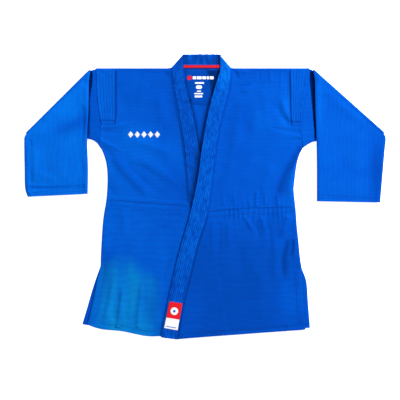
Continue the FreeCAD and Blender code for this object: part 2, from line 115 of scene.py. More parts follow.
# ---- curves and noise
def curve(points, step=4.0):
    """A smooth line through the given points (Catmull-Rom)."""
    points = [np.array(point, float) for point in points]
    out = [points[0]]
    last = len(points) - 1
    for i in range(last):
        before, start = points[max(i - 1, 0)], points[i]
        end, after = points[i + 1], points[min(i + 2, last)]
        slope_0, slope_1 = (end - before) / 2, (after - start) / 2
        parts = max(1, int(round(np.linalg.norm(end - start) / step)))
        for j in range(1, parts + 1):
            t = j / parts
            out.append(
                (2 * t**3 - 3 * t**2 + 1) * start
                + (t**3 - 2 * t**2 + t) * slope_0
                + (-2 * t**3 + 3 * t**2) * end
                + (t**3 - t**2) * slope_1
            )
    return np.array(out)


def run_lengths(line):
    """Distance along a line at each of its points."""
    return np.concatenate([[0], np.cumsum(np.linalg.norm(np.diff(line, axis=0), axis=1))])


def at_length(line, run, where):
    return np.stack([np.interp(where, run, line[:, k]) for k in range(line.shape[1])], -1)


def resample(line, share):
    """Points of a line at shares (0 to 1) of its length."""
    run = run_lengths(line)
    return at_length(line, run, share * run[-1])


def spaced(line, count):
    run = run_lengths(line)
    return at_length(line, run, np.linspace(0, run[-1], count))


def x_of_y(line):
    """x as a function of y along a line whose y only falls."""
    rising = line[::-1]
    return lambda y: np.interp(y, rising[:, 1], rising[:, 0])


def y_of_x(points):
    line = curve(points, 6.0)
    return lambda x: np.interp(x, line[:, 0], line[:, 1])


def bent(ys, xs):
    """x as a function of y through a few points."""
    return lambda y: np.interp(y, ys, xs)


def level(height):
    return lambda x: height


def smooth(start, end, value):
    share = np.clip((value - start) / (end - start), 0, 1)
    return share * share * (3 - 2 * share)


def bell(distance):
    return np.exp(-(distance**2))


def lattice_value(ix, iy, seed):
    """A fixed random value from -1 to 1 for each whole-number point."""
    h = ix.astype(np.int64) * 374761393 + iy.astype(np.int64) * 668265263 + seed * 974634777
    h = h & 0xFFFFFFFF
    h = ((h ^ (h >> 13)) * 1274126177) & 0xFFFFFFFF
    h = h ^ (h >> 16)
    return (h & 0xFFFFFF) / float(0xFFFFFF) * 2 - 1


def noise(x, y, seed):
    x, y = np.broadcast_arrays(np.asarray(x, float), np.asarray(y, float))
    ix, iy = np.floor(x), np.floor(y)
    fx, fy = x - ix, y - iy
    fx, fy = (f**3 * (f * (f * 6 - 15) + 10) for f in (fx, fy))
    low = lattice_value(ix, iy, seed) * (1 - fx) + lattice_value(ix + 1, iy, seed) * fx
    high = lattice_value(ix, iy + 1, seed) * (1 - fx)
    high = high + lattice_value(ix + 1, iy + 1, seed) * fx
    return low * (1 - fy) + high * fy


def layered_noise(x, y, size, seed, octaves, turn=0.0):
    """Noise at halving sizes. The size is one number or (along x, along y)."""
    cos, sin = math.cos(turn), math.sin(turn)
    x, y = x * cos + y * sin, -x * sin + y * cos
    size_x, size_y = (size, size) if np.isscalar(size) else size
    out, weight, total = 0.0, 1.0, 0.0
    for k in range(octaves):
        layer = noise(x / size_x * 2**k + 17.3 * k, y / size_y * 2**k - 9.1 * k, seed + k)
        out = out + weight * layer
        total += weight
        weight *= 0.5
    return out / total


def line_field(x, y, line):
    """Distance to a line, which side of it, and how far along the nearest point is (0 to 1)."""
    run = run_lengths(line)
    nearest = np.full(np.shape(x), 1e9)
    sign = np.ones(np.shape(x))
    along = np.zeros(np.shape(x))
    for k in range(len(line) - 1):
        length = np.linalg.norm(line[k + 1] - line[k])
        way = (line[k + 1] - line[k]) / length
        px, py = x - line[k][0], y - line[k][1]
        foot = np.clip(px * way[0] + py * way[1], 0, length)
        gap = np.hypot(px - foot * way[0], py - foot * way[1])
        closer = gap < nearest
        nearest = np.where(closer, gap, nearest)
        side = np.where(way[0] * py - way[1] * px >= 0, 1.0, -1.0)
        sign = np.where(closer, side, sign)
        along = np.where(closer, (run[k] + foot) / run[-1], along)
    return nearest, sign, along


def folds(x, y, table):
    """Sum of soft folds, from rows of (points, widths on the two sides, height, fades)."""
    z = np.zeros(np.shape(x))
    for points, width_left, width_right, height, fade_in, fade_out in table:
        reach = 4 * max(width_left, width_right)
        low, high = np.min(points, axis=0) - reach, np.max(points, axis=0) + reach
        near = (x > low[0]) & (x < high[0]) & (y > low[1]) & (y < high[1])
        if not near.any():
            continue
        distance, side, along = line_field(x[near], y[near], curve(points, 8.0))
        shape = bell(distance / np.where(side > 0, width_left, width_right))
        shape = shape * smooth(0, fade_in, along) * smooth(0, fade_out, 1 - along)
        z[near] += height * shape
    return np.where(z > 0, 1.8 * z, -3.5 * np.tanh(-1.8 * z / 3.5))


def sample(grid, t, u):
    """Values of a grid at (t, u) in 0..1, mixed from its nearest points."""
    n, m = grid.shape
    ti, ui = np.clip(t, 0, 1) * (n - 1), np.clip(u, 0, 1) * (m - 1)
    i, j = np.clip(ti.astype(int), 0, n - 2), np.clip(ui.astype(int), 0, m - 2)
    f, g = ti - i, ui - j
    low = grid[i, j] * (1 - f) * (1 - g) + grid[i + 1, j] * f * (1 - g)
    return low + grid[i, j + 1] * (1 - f) * g + grid[i + 1, j + 1] * f * g


def steps(*stretches):
    """Positions from 0 to 1 with a chosen spacing in each stretch: (end, spacing)."""
    out, at = [0.0], 0.0
    for end, gap in stretches:
        k = max(1, int(round((end - at) / gap)))
        out += list(at + (end - at) * np.arange(1, k + 1) / k)
        at = end
    return np.array(out)


# ---- meshes
def mesh_object(name, verts, faces, mat, uv=None, attributes=None, flat=False):
    mesh = bpy.data.meshes.new(name)
    faces = faces if isinstance(faces, list) else faces.tolist()
    mesh.from_pydata((np.asarray(verts) * MM).tolist(), [], faces)
    mesh.update()
    if uv is not None:
        layer = mesh.uv_layers.new(name="cloth")
        corner = np.zeros(len(mesh.loops), np.int32)
        mesh.loops.foreach_get("vertex_index", corner)
        layer.data.foreach_set("uv", (uv[corner] * MM * 10.0).astype(np.float32).ravel())
    for key, values in (attributes or {}).items():
        attribute = mesh.attributes.new(key, "FLOAT", "POINT")
        attribute.data.foreach_set("value", np.asarray(values, np.float32).ravel())
    if not flat:
        mesh.shade_smooth()
    ob = bpy.data.objects.new(name, mesh)
    bpy.context.scene.collection.objects.link(ob)
    mesh.materials.append(mat)
    return ob


def grid_quads(n, m):
    rows, cols = np.meshgrid(np.arange(n - 1), np.arange(m - 1), indexing="ij")
    first = (rows * m + cols).ravel()
    return np.stack([first, first + m, first + m + 1, first + 1], axis=1)


def grid_normals(surface):
    normal = np.cross(np.gradient(surface, axis=1), np.gradient(surface, axis=0))
    normal /= np.maximum(np.linalg.norm(normal, axis=2, keepdims=True), 1e-9)
    return -normal if normal[..., 2].mean() < 0 else normal


def perimeter(n, m):
    edge = [(0, j) for j in range(m)]
    edge += [(i, m - 1) for i in range(1, n)]
    edge += [(n - 1, j) for j in range(m - 2, -1, -1)]
    return edge + [(i, 0) for i in range(n - 2, 0, -1)]


def shell(surface, thick):
    """A sheet with thickness and a rounded rim, from a grid of points on its upper face.

    Returns vertices, faces and, for each vertex, the grid point it came from.
    """
    n, m, _ = surface.shape
    normal = grid_normals(surface)
    thickness = np.broadcast_to(np.asarray(thick, float), (n, m))
    under = surface - normal * thickness[..., None]
    middle = (surface + under) / 2
    top = surface.reshape(-1, 3)
    edge = perimeter(n, m)
    rim = np.array([i * m + j for i, j in edge])
    inner = [min(max(i, 1), n - 2) * m + min(max(j, 1), m - 2) for i, j in edge]
    rim_up = normal.reshape(-1, 3)[rim]
    out = top[rim] - top[inner]
    out -= rim_up * np.sum(out * rim_up, axis=1, keepdims=True)
    out /= np.maximum(np.linalg.norm(out, axis=1, keepdims=True), 1e-9)
    radius = thickness.reshape(-1)[rim][:, None] / 2
    centre = middle.reshape(-1, 3)[rim]
    rings = [
        centre + out * radius * math.sin(angle) + rim_up * radius * math.cos(angle)
        for angle in (PI / 4, PI / 2, 3 * PI / 4)
    ]
    verts = np.vstack([top, under.reshape(-1, 3)] + rings)
    source = np.concatenate([np.arange(n * m), np.arange(n * m)] + [rim] * 3)
    quads = grid_quads(n, m)
    # the upper faces point along the normals
    side_1, side_2 = top[quads[:, 1]] - top[quads[:, 0]], top[quads[:, 3]] - top[quads[:, 0]]
    if np.sum(np.cross(side_1, side_2) * normal.reshape(-1, 3)[quads[:, 0]]) < 0:
        quads = quads[:, ::-1]
    count = len(edge)
    ring = [2 * n * m + k * count + np.arange(count) for k in range(3)]
    levels = [rim] + ring + [rim + n * m]
    following = np.roll(np.arange(count), -1)
    rim_faces = np.vstack([
        np.stack([lo, hi, hi[following], lo[following]], axis=1)
        for lo, hi in zip(levels[:-1], levels[1:])
    ])
    if quads[0, 0] == 0:
        rim_faces = rim_faces[:, ::-1]
    # the rim runs with the grid, so one test settles its direction
    facing = np.cross(
        verts[rim_faces[:, 2]] - verts[rim_faces[:, 0]],
        verts[rim_faces[:, 3]] - verts[rim_faces[:, 1]],
    )
    if np.sum(facing * (verts[rim_faces].mean(axis=1) - np.tile(centre, (4, 1)))) < 0:
        rim_faces = rim_faces[:, ::-1]
    return verts, np.vstack([quads, quads[:, ::-1] + n * m, rim_faces]), source


def sheet(name, x, y, z, thick, mat, tone=1.0, teal=0.0, uv=None):
    """A cloth sheet under a grid of points. Its uv is the plan unless another pair is given."""
    verts, faces, source = shell(np.stack([x, y, z], 2), thick)
    uv = np.stack(uv or (x, y), 2).reshape(-1, 2)[source]
    tone, teal = (
        np.array(np.broadcast_to(value, x.shape).ravel()[source], float)
        for value in (tone, teal)
    )
    # the underside is even, without the painted shade, painted light and green-blue patch of the
    # face
    count = x.size
    tone[count:2 * count] = 0.96 * np.median(tone[:count])
    teal[count:2 * count] = 0.0
    return mesh_object(name, verts, faces, mat, uv, {"tone": tone, "teal": teal})


# ---- stitches
STITCH_GAP, STITCH_LENGTH, STITCH_LIFT = 1.1, 3.2, 0.12


def stitch_line(line):
    """Starts and ends of the stitches along a 3-D line."""
    line = np.asarray(line, float)
    run = run_lengths(line)
    count = max(1, int(run[-1] / (STITCH_GAP + STITCH_LENGTH)))
    start = (np.arange(count) + 0.5) * run[-1] / count - STITCH_LENGTH / 2
    return at_length(line, run, start), at_length(line, run, start + STITCH_LENGTH)


def stitching(name, lines, mat, radius):
    """Small tapered stitches, ten points each: two tips and two rings of four."""
    starts, ends = zip(*(stitch_line(line) for line in lines))
    start, end = np.vstack(starts), np.vstack(ends)
    up = np.tile(np.array([0, 0, 1.0]), (len(start), 1))
    start, end = start + up * STITCH_LIFT, end + up * STITCH_LIFT
    way = end - start
    length = np.linalg.norm(way, axis=1, keepdims=True)
    way = way / np.maximum(length, 1e-9)
    side = np.cross(way, up)
    side /= np.maximum(np.linalg.norm(side, axis=1, keepdims=True), 1e-9)
    up = np.cross(side, way)
    rows = [start - up * radius * 0.6]
    for share in (0.22, 0.78):
        ring = start + way * length * share + up * radius * 0.35
        rows += [ring + side * radius, ring + up * radius]
        rows += [ring - side * radius, ring - up * radius]
    rows.append(end - up * radius * 0.6)
    tips, quads = [], []
    for k in range(4):
        j = (k + 1) % 4
        tips += [[0, 1 + j, 1 + k], [9, 5 + k, 5 + j]]
        quads.append([1 + k, 1 + j, 5 + j, 5 + k])
    base = np.arange(len(start))[:, None, None] * 10
    faces = (base + np.array(tips)).reshape(-1, 3).tolist()
    faces += (base + np.array(quads)).reshape(-1, 4).tolist()
    return mesh_object(name, np.stack(rows, axis=1).reshape(-1, 3), faces, mat)


# ---- cloth simulation
SIM_FRAMES = 18
SIM_STIFF = 15.0
SIM_SETTINGS = dict(
    quality=6,
    mass=0.3,
    tension_stiffness=SIM_STIFF,
    compression_stiffness=SIM_STIFF,
    shear_stiffness=SIM_STIFF * 0.4,
    bending_stiffness=0.6,
    tension_damping=8,
    compression_damping=8,
    shear_damping=8,
    bending_damping=0.5,
    air_damping=2.0,
    vertex_group_mass="pin",
)


def pinned_edges(n, m, end=1.0):
    pin = np.zeros((n, m))
    pin[0], pin[-1], pin[:, 0], pin[:, -1] = 1, end, 1, 1
    return pin


def simulate(name, surface, pin, expand, seed, cap):
    """Drapes a coarse sheet with slightly more cloth than its seams allow.

    Returns how far each point rose, in mm, and 0 where it is pinned.
    """
    n, m, _ = surface.shape
    start = surface.copy()
    start[..., 2] += 0.5 * layered_noise(
        surface[..., 0], surface[..., 1], 60.0, seed, 3) * (1 - pin)
    mesh = bpy.data.meshes.new(name + "_sim")
    mesh.from_pydata((start.reshape(-1, 3) * MM).tolist(), [], grid_quads(n, m).tolist())
    ob = bpy.data.objects.new(name + "_sim", mesh)
    scene = bpy.context.scene
    scene.collection.objects.link(ob)
    group = ob.vertex_groups.new(name="pin")
    for k, weight in enumerate(pin.ravel()):
        if weight > 0.01:
            group.add([k], float(weight), "REPLACE")
    modifier = ob.modifiers.new("Cloth", "CLOTH")
    for key, value in SIM_SETTINGS.items():
        setattr(modifier.settings, key, value)
    modifier.settings.shrink_min = -expand
    modifier.settings.effector_weights.gravity = 0.25
    modifier.collision_settings.use_collision = False
    modifier.collision_settings.distance_min = 0.0006
    modifier.point_cache.frame_start = 1
    modifier.point_cache.frame_end = SIM_FRAMES + 5
    for frame in range(1, SIM_FRAMES + 1):
        scene.frame_set(frame)
    moved = ob.evaluated_get(bpy.context.evaluated_depsgraph_get())
    places = np.zeros(n * m * 3, np.float32)
    moved.data.vertices.foreach_get("co", places)
    shift = places.reshape(n, m, 3) / MM - surface
    bpy.data.objects.remove(ob)
    bpy.data.meshes.remove(mesh)
    scene.frame_set(1)
    return np.clip(np.nan_to_num(shift[..., 2]), -cap, cap) * (pin <= 0.9)


# ---- materials
class Shader:
    """A short way to write shader maths."""

    def __init__(self, name):
        self.mat = bpy.data.materials.new(name)
        self.mat.use_nodes = True
        self.tree = self.mat.node_tree
        self.tree.nodes.clear()
        self.out = self.tree.nodes.new("ShaderNodeOutputMaterial")

    def put(self, socket, value):
        if hasattr(value, "is_output"):
            self.tree.links.new(value, socket)
        elif isinstance(value, tuple) and socket.type == "RGBA":
            socket.default_value = (*value, 1.0)
        else:
            socket.default_value = value

    def node(self, kind, props=None, **inputs):
        node = self.tree.nodes.new("ShaderNode" + kind)
        for key, value in (props or {}).items():
            setattr(node, key, value)
        for key, value in inputs.items():
            self.put(node.inputs[key.replace("_", " ")], value)
        return node

    def fill(self, node, values, at=(0, 1, 2)):
        for index, value in zip(at, values):
            self.put(node.inputs[index], value)
        return node

    def math(self, operation, first, second=0.0):
        node = self.node("Math", {"operation": operation})
        return self.fill(node, (first, second, 0.0)).outputs[0]

    def add(self, first, second):
        return self.math("ADD", first, second)

    def sub(self, first, second):
        return self.math("SUBTRACT", first, second)

    def mul(self, first, second):
        return self.math("MULTIPLY", first, second)

    def sine(self, value):
        return self.math("SINE", value)

    def vary(self, value, base, spread):
        return self.add(base, self.mul(value, spread))

    def scaled(self, vector, factor):
        node = self.node("VectorMath", {"operation": "SCALE"}, Scale=factor)
        return self.fill(node, (vector,)).outputs[0]

    def split(self, vector):
        return self.fill(self.node("SeparateXYZ"), (vector,)).outputs

    def attribute(self, name):
        return self.node("Attribute", {"attribute_name": name}).outputs["Fac"]

    def noise(self, vector, scale, detail=2.0, roughness=0.5):
        node = self.node(
            "TexNoise", Vector=vector, Scale=scale, Detail=detail, Roughness=roughness)
        return node.outputs["Fac"]

    def finish(self, **inputs):
        surface = self.node("BsdfPrincipled", **inputs)
        self.tree.links.new(surface.outputs[0], self.out.inputs[0])
        return self.mat


BLUE = (0.0006, 0.094, 0.60)
# green-blue for the patch on the lower right skirt
TEAL_BLUE = (0.0022, 0.205, 0.60)
# how much each adds to the height of the weave
RIB_SHARE, GRAIN_SHARE, FIBRE_SHARE = 0.55, 0.3, 0.5


def cloth(name, count_u=False, period=3.2, grain=2.1, relief=0.22, bands=None, contrast=1.0):
    """Woven cotton: ribs one way, broken into small grains by the threads the other way.

    The ribs are counted along v, or u if count_u. Bands are broad stripes: (pitch, amount).
    """
    g = Shader(name)
    uv_map = g.node("UVMap", {"uv_map": "cloth"}).outputs[0]
    vector = g.scaled(uv_map, factor=100.0)  # the uv in mm
    u, v, _ = g.split(vector)
    across, lengthwise = (u, v) if count_u else (v, u)
    wobble = g.mul(g.sub(g.noise(vector, scale=0.05), 0.5), 1.6)
    place = g.add(across, wobble)
    rib = g.sine(g.mul(place, 2 * PI / period))
    row = g.math("FLOOR", g.math("DIVIDE", place, period))
    shift = g.mul(g.math("MODULO", row, 2.0), PI)
    grains = g.sine(g.add(g.mul(lengthwise, 2 * PI / grain), shift))
    fibre = g.sub(g.noise(vector, scale=1.3, detail=3.0, roughness=0.6), 0.5)
    weave = g.add(g.mul(rib, RIB_SHARE), g.mul(grains, GRAIN_SHARE))
    height = g.add(weave, g.mul(fibre, FIBRE_SHARE))
    bump = g.node("Bump", Strength=1.0, Distance=relief * MM, Height=height)
    # brightness: thread valleys, slow dye variation, fine variation, broad bands, and the tone
    # attribute, which carries painted light and painted shade
    light = g.vary(g.sub(height, 0.0), base=1.0, spread=0.055 * contrast)
    dye = g.noise(vector, scale=0.022, detail=5.0, roughness=0.72)
    light = g.mul(light, g.vary(dye, base=0.87, spread=0.26))
    fine = g.noise(vector, scale=0.35)
    light = g.mul(light, g.vary(fine, base=0.955, spread=0.09 * contrast))
    if bands:
        pitch, amount = bands
        phase = g.mul(g.sub(g.noise(vector, scale=0.011, detail=1.0), 0.5), 14.0)
        band = g.sine(g.add(g.mul(across, 2 * PI / pitch), phase))
        light = g.mul(light, g.vary(band, base=1.0, spread=amount))
    light = g.mul(light, g.attribute("tone"))
    teal = g.attribute("teal")
    mix = g.fill(g.node("Mix", {"data_type": "RGBA"}), (teal, BLUE, TEAL_BLUE), at=(0, 6, 7))
    # bright parts lean a little towards cyan, dark parts towards navy
    lean = g.math("MAXIMUM", g.mul(g.sub(light, 0.9), 1.0), -0.08)
    red, green, blue = g.fill(g.node("SeparateColor"), (mix.outputs[2],)).outputs
    red = g.mul(red, light)
    green = g.mul(g.mul(green, light), g.add(1.0, lean))
    blue = g.mul(blue, light)
    return g.finish(
        Base_Color=g.fill(g.node("CombineColor"), (red, green, blue)).outputs[0],
        Roughness=g.vary(fibre, base=0.83, spread=0.12),
        Specular_IOR_Level=0.015,
        Sheen_Weight=0.06,
        Sheen_Roughness=0.45,
        Sheen_Tint=(0.02, 0.35, 1.0),
        Normal=bump.outputs[0],
    )


def plain(name, rgb, rough=0.7, pitch=None, relief=0.08, vary=0.1, spec=0.1):
    """Thread, tape and print, with colour variation. A pitch gives a fine weave."""
    g = Shader(name)
    vector = g.scaled(g.node("TexCoord").outputs["Object"], factor=1000.0)
    height = g.noise(vector, scale=0.8, detail=3.0)
    if pitch:
        x, y, _ = g.split(vector)
        warp, weft = (g.sine(g.mul(axis, 2 * PI / pitch)) for axis in (x, y))
        height = g.add(g.mul(g.mul(warp, weft), 0.6), g.mul(height, 0.5))
    bump = g.node("Bump", Strength=1.0, Distance=relief * MM, Height=height)
    return g.finish(
        Base_Color=g.scaled(rgb, g.vary(height, base=1.0 - vary / 2, spread=vary)),
        Roughness=rough,
        Specular_IOR_Level=spec,
        Normal=bump.outputs[0],
    )


BODY = cloth("body_weave", bands=(11.0, 0.020))
SLEEVE_CLOTH = {
    "left": cloth("sleeve_weave_left", count_u=True, bands=(14.2, 0.024)),
    "right": cloth("sleeve_weave_right", count_u=True, bands=(15.7, 0.020)),
}
SKIRT = cloth("skirt_weave", bands=(19.0, 0.024), grain=2.6)
FINE_WEAVE = dict(period=2.0, grain=1.6, relief=0.16, contrast=1.3)
LAPEL = cloth("lapel_weave", count_u=True, **FINE_WEAVE)
NECK = cloth("neck_band_weave", **FINE_WEAVE)
LINING = cloth("lining_weave", period=1.6, grain=1.6, relief=0.1)
BAND = cloth("shoulder_band_weave", count_u=True, period=2.6, grain=2.0)
THREAD_LOOK = dict(rough=0.6, relief=0.05, vary=0.3)
THREAD = plain("seam_thread", (0.0008, 0.034, 0.26), **THREAD_LOOK)
LAPEL_THREAD = plain("lapel_thread", (0.0008, 0.030, 0.23), **THREAD_LOOK)
WHITE = plain("white_satin_thread", (0.90, 0.92, 0.95), rough=0.5, pitch=0.7, relief=0.12,
              spec=0.3)
RED = plain("red_tape_weave", (0.72, 0.012, 0.022), pitch=1.1, relief=0.12, vary=0.15)
PATCH_RED = plain("patch_red_weave", (0.80, 0.010, 0.016), pitch=0.8, vary=0.12)
PATCH_WHITE = plain("patch_white_weave", (0.92, 0.92, 0.92), pitch=0.8, vary=0.06)
PATCH_BLUE = plain("patch_blue_thread", (0.01, 0.16, 0.62), rough=0.6, pitch=0.8)
PRINT = plain("neck_print_ink", (0.86, 0.89, 0.93), rough=0.55, pitch=1.4, relief=0.05)
WADDING = plain("cotton_wadding", (0.72, 0.70, 0.64), rough=0.95, pitch=2.4, relief=0.4,
                vary=0.2)


# ---- the two sides
def make_side(name, sign, outlines, vent_y, **more):
    """The outlines of one side as functions: x of y down its edges, y of x along its seams."""
    lapel_in, lapel_out, armhole, seam, front_vent, back_vent, hem, waist = outlines
    down = [curve(armhole), curve(seam)[1:]]
    return SimpleNamespace(
        name=name,
        sign=sign,
        lapel_in_line=curve(lapel_in),
        lapel_out_line=curve(lapel_out),
        lapel_in=x_of_y(curve(lapel_in)),
        lapel_out=x_of_y(curve(lapel_out)),
        armhole=down[0],
        edge=x_of_y(np.vstack(down + [curve(front_vent)[1:]])),
        back_edge=x_of_y(np.vstack(down + [curve(back_vent)[1:]])),
        front_vent=front_vent,
        back_vent=back_vent,
        hem=y_of_x(hem),
        waist=y_of_x(waist),
        vent_y=vent_y,
        **more,
    )


# seam_step: how far the skirt sinks under the chest cloth at the waist
# chest_thin: how much thinner the chest cloth is there
# inner_sink: how far the edge beside the lapel sinks
LEFT = make_side(
    "left", 1,
    (LEFT_LAPEL_IN, LEFT_LAPEL_OUT, LEFT_ARMHOLE, LEFT_SEAM, LEFT_FRONT_VENT, LEFT_BACK_VENT,
     LEFT_HEM, LEFT_WAIST),
    vent_y=-183, seam_step=1.6, chest_thin=1.0, inner_sink=0.0)
RIGHT = make_side(
    "right", -1,
    (RIGHT_LAPEL_IN, RIGHT_LAPEL_OUT, RIGHT_ARMHOLE, RIGHT_SEAM, RIGHT_FRONT_VENT,
     RIGHT_BACK_VENT, RIGHT_HEM, RIGHT_WAIST),
    vent_y=-174, seam_step=1.25, chest_thin=1.05, inner_sink=0.6)
SIDES = (LEFT, RIGHT)
back_hem = y_of_x(BACK_HEM)


def panel(top, bottom, x_start, x_end, ts, us):
    """Plan points of a panel: top and bottom give y from x, the two sides give x from y."""
    T, U = np.meshgrid(ts, us, indexing="ij")
    x = (x_start(0.0) + x_end(0.0)) / 2 + 0 * T
    for _ in range(14):
        y = top(x) * (1 - T) + bottom(x) * T
        x = x_start(y) * (1 - U) + x_end(y) * U
    return x, y


def drop(inset, radius, depth):
    """How far a cloth has rolled over its edge at a distance inside it."""
    k = np.clip(1 - inset / radius, 0, 1)
    return depth * (1 - np.sqrt(np.maximum(1 - k * k, 0)))


def off_line(x, y, line, toward):
    """Distance from a line, positive on the side of a point, and the unit way there."""
    (ax, ay), (bx, by) = line
    length = math.hypot(bx - ax, by - ay)
    nx, ny = -(by - ay) / length, (bx - ax) / length
    if (toward[0] - ax) * nx + (toward[1] - ay) * ny < 0:
        nx, ny = -nx, -ny
    return (x - ax) * nx + (y - ay) * ny, (nx, ny)


DRAPE = {}  # rise of each simulated panel over its own coordinates


def drape_front(side, surface, seed):
    """Coarse simulation of one front, held at its seams."""
    x_start = side.lapel_out(0.0)
    n = int(abs(SHOULDER_Y - side.hem(x_start)) / 9) + 2
    m = int(abs(side.edge(0.0) - x_start) / 9) + 2
    x, y = panel(level(SHOULDER_Y), side.hem, side.lapel_out, side.edge,
                 np.linspace(0, 1, n), np.linspace(0, 1, m))
    points = np.stack([x, y, surface(x, y)], axis=2)
    DRAPE[side.name] = simulate(
        side.name, points, pinned_edges(n, m), expand=0.012, seed=seed, cap=2.4)


def draped(side, x, y):
    if side.name not in DRAPE:
        return 0.0
    t = (SHOULDER_Y - y) / (SHOULDER_Y - side.hem(x))
    start = side.lapel_out(y)
    return sample(DRAPE[side.name], t, (x - start) / (side.edge(y) - start))


# ---- folds: (points, width to the left and right of the line, height, fade in, fade out)
LEFT_FOLDS = [
    (((126, 348), (114, 270), (96, 174), (75, 54)), 16, 16, 1.8, 0.15, 0.25),
    (((150, 312), (141, 249), (135, 180)), 11, 14, -2, 0.3, 0.4),
    (((186, 366), (195, 294), (201, 219)), 16, 16, 1.2, 0.2, 0.4),
    (((240, 339), (255, 291), (273, 255)), 10, 9, 1.8, 0.3, 0.2),
    (((225, 318), (240, 276), (267, 249)), 8, 8, -2, 0.3, 0.2),
    (((306, 226.5), (252, 231), (195, 243)), 4, 6, -1.4, 0.15, 0.4),
    (((342, 201), (291, 213), (237, 211.5)), 4, 5, 1.4, 0.05, 0.5),
    (((303, 186), (276, 153), (251.1, 106.8), (235.8, 66), (228, 30)),
     14, 9, -3.2, 0.12, 0.15),
    (((297, 171), (279, 126), (267, 66), (264, 24)), 12, 10, 1.6, 0.2, 0.2),
    (((213, 144), (198, 84), (186, 24)), 14, 14, 1.2, 0.3, 0.2),
    (((96, 414), (105, 402), (114, 384)), 4, 5, -1.3, 0.1, 0.4),
    (((105, 358.5), (129, 366.6), (153, 371.4)), 3.5, 4.5, -1.2, 0.2, 0.2),
    (((117, 345), (138, 358.5), (159, 364.5)), 6, 9, 1.3, 0.3, 0.3),
    (((153, 373.8), (207, 375), (270, 373.2)), 2.2, 2.6, -0.7, 0.1, 0.05),
    (((207, 414), (208.5, 378)), 5, 5, 0.9, 0.1, 0.1),
    (((174, 414), (174, 378)), 4, 4, -0.6, 0.1, 0.1),
    (((240, 408), (240, 348)), 5, 5, 0.7, 0.1, 0.2),
    (((258, 396), (258, 336)), 3, 3, -0.7, 0.1, 0.2),
    (((168, 66), (166.5, 30), (165, 3)), 4, 4.5, 1.8, 0.5, 0.1),
    (((144, 36), (145.5, 3)), 3.5, 3.5, 1.2, 0.5, 0.1),
    (((127.5, 30), (129, 3)), 3.5, 3.5, 1, 0.5, 0.1),
    (((192, 48), (192.9, 9)), 4, 4, 1.3, 0.5, 0.1),
    (((228, 60), (230.4, 9)), 4, 4, 1.3, 0.5, 0.1),
    (((66, 48), (67.5, 6)), 4, 4, 1, 0.5, 0.1),
    (((99, 54), (102, 6)), 4, 4, 1, 0.5, 0.1),
    (((34.8, -30), (33.9, -84), (30, -144)), 5, 6, 1.1, 0.1, 0.4),
    (((55.2, -36), (54.6, -96), (51, -162)), 7, 7, -1.2, 0.15, 0.4),
    (((84, -39), (84, -96), (81, -144)), 9, 9, 1.2, 0.15, 0.5),
    (((108, -96), (117, -162), (120, -246)), 16, 18, -1.2, 0.3, 0.4),
    (((264, -18), (252, -60), (237, -96)), 11, 13, 2.6, 0.15, 0.4),
    (((262.5, -96), (255, -126), (248.1, -162), (251.1, -216)), 10, 6, -3.4, 0.2, 0.3),
    (((228, -84), (225, -144), (225, -246)), 14, 14, 1.7, 0.25, 0.4),
    (((273.9, -90), (270, -120), (263.4, -156)), 4.5, 5, -2.2, 0.25, 0.35),
    (((283.5, -87), (282, -120), (279, -162)), 4.5, 4.5, 1.7, 0.2, 0.4),
    (((129, -24), (144, -48), (159, -78)), 6, 5, 1.8, 0.1, 0.5),
    (((180, -24), (189, -54), (195, -84)), 6, 6, 1.8, 0.1, 0.5),
    (((159, -42), (171, -72), (183, -114)), 7, 7, -1.4, 0.2, 0.5),
    (((201, -42), (207, -84), (207, -144)), 7, 8, -1.3, 0.2, 0.5),
    (((183, -162), (183, -246), (171, -342)), 22, 24, 1.2, 0.3, 0.2),
    (((42, -246), (33, -306), (15, -372)), 18, 18, 0.9, 0.3, 0.1),
    (((300, -162), (306, -246), (315, -342)), 8, 8, -0.8, 0.2, 0.1),
]
